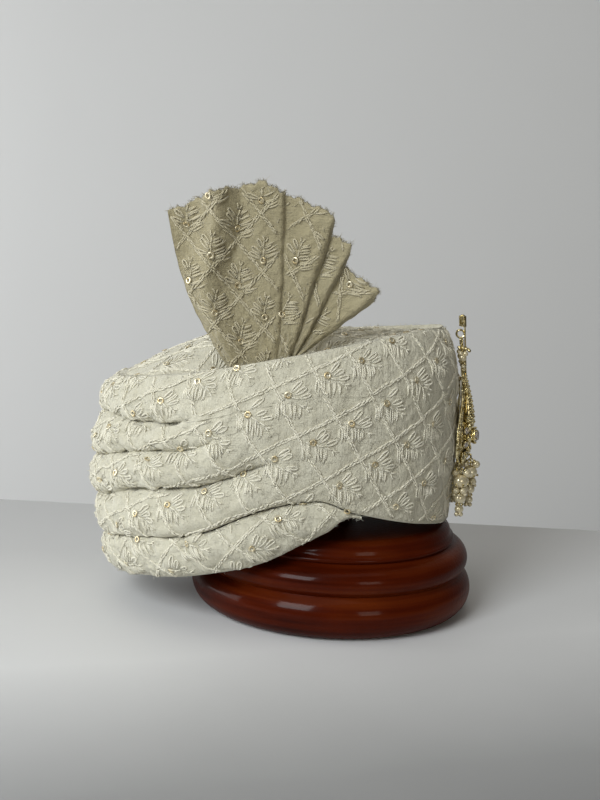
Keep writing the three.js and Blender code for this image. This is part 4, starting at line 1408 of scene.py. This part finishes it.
leaf, leaf_round = [], np.arange(LEAF_SIDES) * 2 * math.pi / LEAF_SIDES
for up in np.linspace(LEAF_UP[0], LEAF_UP[-1], LEAF_RINGS):
    out, wide, deep = leaf_at(up)
    leaf += [(wide * c, up, out + deep * s) for c, s in zip(np.cos(leaf_round), np.sin(leaf_round))]
frame_metal.add(leaf, tube_faces(LEAF_RINGS, LEAF_SIDES))
frame_metal.ring(BAIL, 2.7, 2.7, 0.75, (1, 2))
frame_metal.ring(BAIL_EYE, 1.5, 1.9, 0.5, (0, 1), 18)
STRIP = [  # heights, and the half width, the way out and the half thickness there
    ((160, 165, 172, 179, 186, 196.6), 1.35, 5.9, 0.6),
    ((197.1, 197.6, 200, 203.4, 204.1), 1.7, 4.5, 2.5),
]
strip_round = np.radians([20, 70, 110, 160, 200, 250, 290, 340])
strip = [(1.15 * wide * math.cos(a), up, out + 1.05 * thick * math.sin(a))
         for heights, wide, out, thick in STRIP for up in heights for a in strip_round]
frame_metal.add(strip, tube_faces(len(strip) // len(strip_round), len(strip_round)))
frame_metal.ball(FINIAL, (1.2, 0.9, 1.5))
frame_metal.wire([(0, up, PIN_OUT) for up in np.linspace(*PIN_REACH, 12)], 0.62)
for up in PIN_STUDS:
    frame_metal.ball((0, up, 1.9), (1.3, 1.5, 1.1))
frame_metal.wire(HANGER, 0.9)
frame_metal.ball((0, BOTTOM_LOBE_UP, 7.4), (6.5, 3.8, 3.2), 20, 12)
for side in SIDES:
    frame_metal.ball((side * SIDE_LOBE_ACROSS, SIDE_LOBE_UP, 5.6), (5.5, 3.4, 2.2), 20, 12)
DROPS = [  # name, across, up, how far out the loop and the pearls are
    ("near", -20.0, 103.6, 3.3, 6.4), ("middle", 0.0, 106.0, 12.0, 12.0), ("far", 20.0, 103.6, 3.3, 6.4)]
for _, across, up, loop, _ in DROPS:
    frame_metal.ring((across, up, loop), 1.6, 1.6, 0.5)
frame_metal.piece("brooch_metal", gold, "gold", "brooch_frame", sharp=45)

# %% [markdown]
# Granulation is what makes such work sparkle: rows of tiny beads along every edge, with twisted wire round
# the openings and curled wires on the side lobes. They are one separate piece that sits on the metal.

# %% Granules and filigree
EDGE_BEADS, BOSS_BEADS, LOBE_BEADS, CRYSTALS, CLAWS = 1.55, 34, 24, 8, 6  # the first is a spacing
LEAF_BEADS = [  # shares of the leaf's half width, in turn
    (-0.96, -0.8, -0.48, 0, 0.48, 0.8, 0.96),
    (-0.99, -0.9, -0.66, -0.3, 0.3, 0.66, 0.9, 0.99),
]
BOSS_RING, CRYSTAL_RING, CLAW_RING = 14, 12.4, 5.3  # radii round the boss
LEAF_BEAD_UP, LEAF_TIP = np.arange(131.5, 168, 1.75), 163  # above the tip a row is one bead
CURLS, CURL_ACROSS, CURL_REACH = ((112.5, 1.7), (133.5, -1.5)), 22.2, 3.0  # the first are height and turns
granules = Shells()
edge_line = plate_outline(40)
inset = np.stack([-np.gradient(edge_line[:, 1]), np.gradient(edge_line[:, 0])], 1)
inset /= np.maximum(np.linalg.norm(inset, axis=1, keepdims=True), 1e-9)
edge_run = running_distance(edge_line)
for distance in np.arange(1, edge_run[-1] - 1, EDGE_BEADS):
    across, up = (np.interp(distance, edge_run, line) for line in (edge_line - 0.75 * inset).T)
    granules.ball((across, up, FACE + 0.15), 0.72, 8, 6)
for across, up, wide, high in gap_ovals:
    if abs(across) > 4 or up < BOSS_UP:
        granules.ring((across, up, FACE + 0.1), wide + 0.5, high + 0.5, 0.42, count=22)
for k in range(BOSS_BEADS):
    angle = 2 * math.pi * (k + 0.5) / BOSS_BEADS
    if math.sin(angle) <= 0.72:
        bead = (BOSS_RING * math.cos(angle), BOSS_UP + BOSS_RING * math.sin(angle), FACE + 0.45)
        granules.ball(bead, 0.95, 9, 7)
crystals = Shells()
for k in range(CRYSTALS):
    angle = 2 * math.pi * (k + 0.5) / CRYSTALS
    radial, tangent = (np.array([math.cos(angle + quarter), math.sin(angle + quarter), 0])
                       for quarter in (0, math.pi / 2))
    facing = 0.75 * radial + [0, 0, 0.66]
    spot = CRYSTAL_RING * radial + [0, BOSS_UP, FACE + 3.4]
    gem, rim = Shells(), Shells()
    gem.ball((0, 0, 0), (2.3, 1.9, 1.5), 8, 6)
    rim.ring((0, 0, 0.2), 2.4, 2.0, 0.42, count=18)
    axes = [tangent, np.cross(facing, tangent), facing]
    crystals.place(gem, axes, spot)
    granules.place(rim, axes, spot)
for row, up in enumerate(LEAF_BEAD_UP):
    out, wide, deep = leaf_at(up)
    for share in LEAF_BEADS[row % 2] if up <= LEAF_TIP else (0,):
        spot = (wide * share, up, out + deep * math.sqrt(1 - share ** 2))
        granules.ball(spot, 0.95 if share == 0 else 0.62, 8, 6)
for k in range(LOBE_BEADS):
    angle = 2 * math.pi * k / LOBE_BEADS
    granules.ball((6.6 * math.cos(angle), BOTTOM_LOBE_UP + 3.9 * math.sin(angle), 7.8), 0.75, 8, 6)
    for side in SIDES:
        across = side * SIDE_LOBE_ACROSS + 5.6 * math.cos(angle)
        granules.ball((across, SIDE_LOBE_UP + 3.5 * math.sin(angle), 5.9), 0.7, 8, 6)
for k in range(CLAWS):
    angle = 2 * math.pi * k / CLAWS + 0.26
    claw = (CLAW_RING * math.cos(angle), BOSS_UP + CLAW_RING * math.sin(angle), FACE + 9.6)
    granules.ball(claw, (0.75, 0.75, 1.5), 8, 7)
swirl = np.linspace(0, 1, 40)
curl_reach = CURL_REACH * (1 - swirl)
for side in SIDES:
    for low, turns in CURLS:
        angle = turns * 2 * math.pi * swirl
        across = side * (CURL_ACROSS - curl_reach * np.cos(angle))
        up = low + curl_reach * np.sin(angle)
        granules.wire(np.stack([across, up, np.full(len(swirl), FACE + 0.25)], -1), 0.4)
granules.piece("brooch_granules", gold, "gold")
crystals.piece("brooch_crystals", stone, "stone", sharp=10)

# %% [markdown]
# The stone is cut glass in a claw setting: a flat table with ten sides, slanting facets round it and a
# girdle. Its faces stay flat, so its edges are marked sharp. The pearls are slightly uneven balls, each
# with a gilt cup.

# %% Stone and pearl flower
STONE_SEAT, STONE_SIDES = FACE + 7.9, 10
STONE_LEVELS = [  # radius, rise, turn in steps
    (3.8, 0.0, 0.0), (5.2, 1.6, 0.5), (4.5, 2.9, 0.0), (3.1, 4.4, 0.5), (0.05, 4.4, 0.5)]
stone_points = []
for k in range(STONE_SIDES):
    for radius, rise, shift in STONE_LEVELS:
        angle = 2 * math.pi * (k + shift) / STONE_SIDES
        spot = (radius * math.cos(angle), BOSS_UP + radius * math.sin(angle), STONE_SEAT + rise)
        stone_points.append(spot)
under, table = ([k * len(STONE_LEVELS) + level for k in range(STONE_SIDES)]
                for level in (0, len(STONE_LEVELS) - 1))
cut = Shells()
cut.add(stone_points, [*grid_faces(STONE_SIDES, len(STONE_LEVELS), True).tolist(), under[::-1], table])
cut.piece("brooch_stone_cut", stone, "stone", "brooch_stone", sharp=4)


PEARL_SHAPE, PEARL_UNEVEN = np.array([1.0, 0.97, 1.0]), 0.02


def pearl_ball(shells, centre, radius):
    shells.ball(centre, radius * PEARL_SHAPE * (1 + PEARL_UNEVEN * dice.normal(size=3)), 22, 14)


FLOWER = [(5.1, 176.0, 3.6, 2.7), (4.9, 178.8, 5.7, 1.8), (6.5, 178.8, 2.5, 1.8)]  # across, up, out, radius
STEM_BEADS = [  # up, out, radius
    (182.0, 2.0, 1.2), (182.4, 4.2, 1.3), (182.0, 6.4, 1.2), (180.8, 8.4, 1.2), (184.6, 3.2, 0.9),
    (172.4, 2.2, 0.9), (172.0, 5.2, 1.0), (167.6, 4.0, 1.3), (165.4, 3.6, 1.0), (163.4, 4.6, 1.0)]
flower, flower_cups = Shells(), Shells()
for side in SIDES:
    for across, up, out, radius in FLOWER:
        pearl_ball(flower, (side * across, up, out), radius)
        cup_at, cup = (side * (across - 0.7 * radius), up, out), 0.75 * radius
        flower_cups.ring(cup_at, cup, cup, 0.32, (1, 2), 18)
    for up, out, radius in STEM_BEADS:
        flower_cups.ball((side * 3.6, up, out), radius, 12, 8)
    pearl_ball(flower, (side * 3.8, 170.0, 3.9), 1.7)
flower_cups.wire([(across, 176, 4.6) for across in np.linspace(-5.1, 5.1, 7)], 0.35)
flower.piece("pearl_flower_pearls", pearl, "pearl", "pearl_flower")
flower_cups.piece("pearl_flower_cups", gold, "gold")

# %% [markdown]
# Each drop hangs by a jump ring and is strung from the top: two pearls, a large one, four more, a middle
# one, a smaller one and two at the end, with gilt caps and seed beads between them. Gravity keeps the
# strings upright, and they rest against the cloth, so they need no joint.

# %% Pearl drops
PEARL_ROWS = [  # below, count, spread, radius
    (4.4, 2, 3.8, 2.8), (10.2, 1, 0.0, 5.0), (16.4, 4, 3.4, 2.4), (22.0, 1, 0.0, 4.0), (29.6, 1, 0.0, 3.1),
    (33.2, 2, 1.4, 1.6)]
SEEDS, SEED_PEARLS = [  # below, spread, radius; one of the rows is of pearl
    (2.2, 3.2, 0.9), (12.0, 5.2, 0.85), (19.0, 4.3, 1.15), (18.2, 2.6, 0.8), (26.2, 2.3, 0.8)], 2
DROP_WIRE = [(3.9, 0.1), (5.2, 0.5), (6.6, 1), (20, 1), (33.6, 1)]  # below, share of the way forward
CAP = np.array([(0.4, 0), (1.0, 0.1), (2.2, 1.0), (2.7, 2.0), (2.4, 2.1)])
CAPS = [(5.2, 1.15, -1), (18.0, 0.85, -1), (26.0, 0.85, 1), (26.7, 0.7, -1)]  # below, size, way up


def round_string(across, up, forward, spread, count, shift):
    """Spots evenly round an upright string."""
    for k in range(count):
        angle = 2 * math.pi * (k + shift) / count
        yield across + spread * math.cos(angle), up, forward + spread * math.sin(angle)


def hang_drop(name, across, up, loop, forward):
    pearls, findings = Shells(), Shells()
    for below, count, spread, radius in PEARL_ROWS:
        for spot in round_string(across, up - below, forward, spread, count, 0.5):
            pearl_ball(pearls, spot, radius)
    for row, (below, spread, radius) in enumerate(SEEDS):
        for spot in round_string(across, up - below, forward, spread, 6, 0.5 * (row % 2)):
            (pearls if row == SEED_PEARLS else findings).ball(spot, radius, 10, 7)
    findings.ring((across, up - 2.05, loop), 1.8, 1.8, 0.45, (1, 2), 22)
    findings.wire([(across, up - below, mix(loop, forward, share)) for below, share in DROP_WIRE], 0.6)
    for below, size, flip in CAPS:
        points, faces = turned(CAP * size, 18)
        points = points[:, [0, 2, 1]] * [1, flip, 1] + [across, up - below, forward]
        findings.add(points, faces if flip < 0 else [face[::-1] for face in faces])
    pearls.piece(f"drop_{name}_pearls", pearl, "pearl", f"drop_{name}")
    findings.piece(f"drop_{name}_findings", gold, "gold")


for drop in DROPS:
    hang_drop(*drop)

# %% [markdown]
# Pale surroundings: a table top whose back edge lies where the photograph shows one, and a wall far
# behind it. Both are stage, not object, and their greys are painted light and shade: the table is darker
# towards the front and the right, the wall lighter towards the right. A large soft light stands up to the
# left in front, the way a window lights a room. A broad warm light hangs above, a weak one fills in from
# the right, one more washes the wall, and the world is warm and very dim.

# %% Stage and light
def painted_falloff_finish(name, fall, greys, tint):
    """A finish whose grey changes slowly along one direction, as painted light and shade."""
    finish = Finish(name, roughness=0.6, specular_ior_level=0.2)
    sockets = {0: finish.place((1, 1, 1)), 1: fall}
    dim = finish.node("ShaderNodeVectorMath", {"operation": "DOT_PRODUCT"}, sockets, out=1)
    stops = [(at, tuple(part * grey for part in tint)) for at, grey in greys]
    finish.surface(base_color=finish.ramp(dim + 0.48 + finish.cloud((6, 6, 6), detail=4) * 0.04, *stops))
    return finish.material


def stage_box(name, low, high, material):
    corners = [[(low, high)[(k >> axis) & 1][axis] for axis in range(3)] for k in range(8)]
    faces = [(0, 2, 3, 1), (4, 5, 7, 6), (0, 1, 5, 4), (2, 6, 7, 3), (0, 4, 6, 2), (1, 3, 7, 5)]
    mesh = bpy.data.meshes.new(name)
    mesh.from_pydata(corners, [], faces)
    mesh.materials.append(material)
    made = bpy.data.objects.new(name, mesh)
    bpy.context.collection.objects.link(made)
    made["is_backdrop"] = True


TABLE_BACK, WALL_AT = 0.231, 1.7
# The table's greys are painted shade, darker towards the front and the right; the wall's are painted light,
# lighter towards the right.
TABLE_PAINTED_SHADE = ((0.15, 0.26), (0.215, 0.34), (0.31, 0.54), (0.40, 0.74), (0.66, 0.61))
WALL_PAINTED_LIGHT = ((0.33, 0.665), (0.48, 0.725), (0.63, 0.775))
table_finish = painted_falloff_finish("table_painted_shade", (-0.35, 1, 0), TABLE_PAINTED_SHADE, (0.985, 0.995, 1))
wall_finish = painted_falloff_finish("wall_painted_light", (0.25, 0, -0.05), WALL_PAINTED_LIGHT, (0.99, 1, 1))
stage_box("table", (-1.6, -1.6, -0.03), (1.6, TABLE_BACK, 0), table_finish)
stage_box("wall", (-4, WALL_AT, -2.5), (4, WALL_AT + 0.02, 3), wall_finish)


def soft_light(name, at, aim, size, power, colour):
    lamp = bpy.data.lights.new(name, "AREA")
    lamp.size, lamp.energy, lamp.color = size, power, colour
    made = bpy.data.objects.new(name, lamp)
    made.location = at
    made.rotation_euler = (Vector(aim) - Vector(at)).to_track_quat("-Z", "Y").to_euler()
    bpy.context.collection.objects.link(made)


soft_light("window", (-0.77, -1.38, 1.02), (-0.05, 0, 0.12), 0.8, 24, (0.94, 0.975, 1.0))
soft_light("ceiling", (-0.25, -0.2, 2.0), (0, 0, 0), 2.2, 8.3, (1.0, 0.955, 0.87))
soft_light("fill", (0.9, -1.45, 0.5), (0.05, 0, 0.08), 0.5, 3.0, (1.0, 0.94, 0.82))
soft_light("wall_wash", (-2.2, 0.3, 0.1), (0.2, 1.7, 0.0), 1.8, 47, (0.99, 1.0, 1.0))
world = bpy.data.worlds.new("studio")
world.use_nodes = True
background = world.node_tree.nodes["Background"]
background.inputs["Color"].default_value = (1.0, 0.945, 0.83, 1)
background.inputs["Strength"].default_value = 0.07
bpy.context.scene.world = world
bpy.context.scene.view_settings.view_transform = "Standard"
print("stage and light set")

# %% Size and finish
dressed_box = [[float(v) for v in corner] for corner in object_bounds()]
for name, solid, dressed in zip(("low", "high"), cad_box, dressed_box):
    print(name, "corner moved by", [round((b - a) / MM, 1) for a, b in zip(solid, dressed)], "mm")
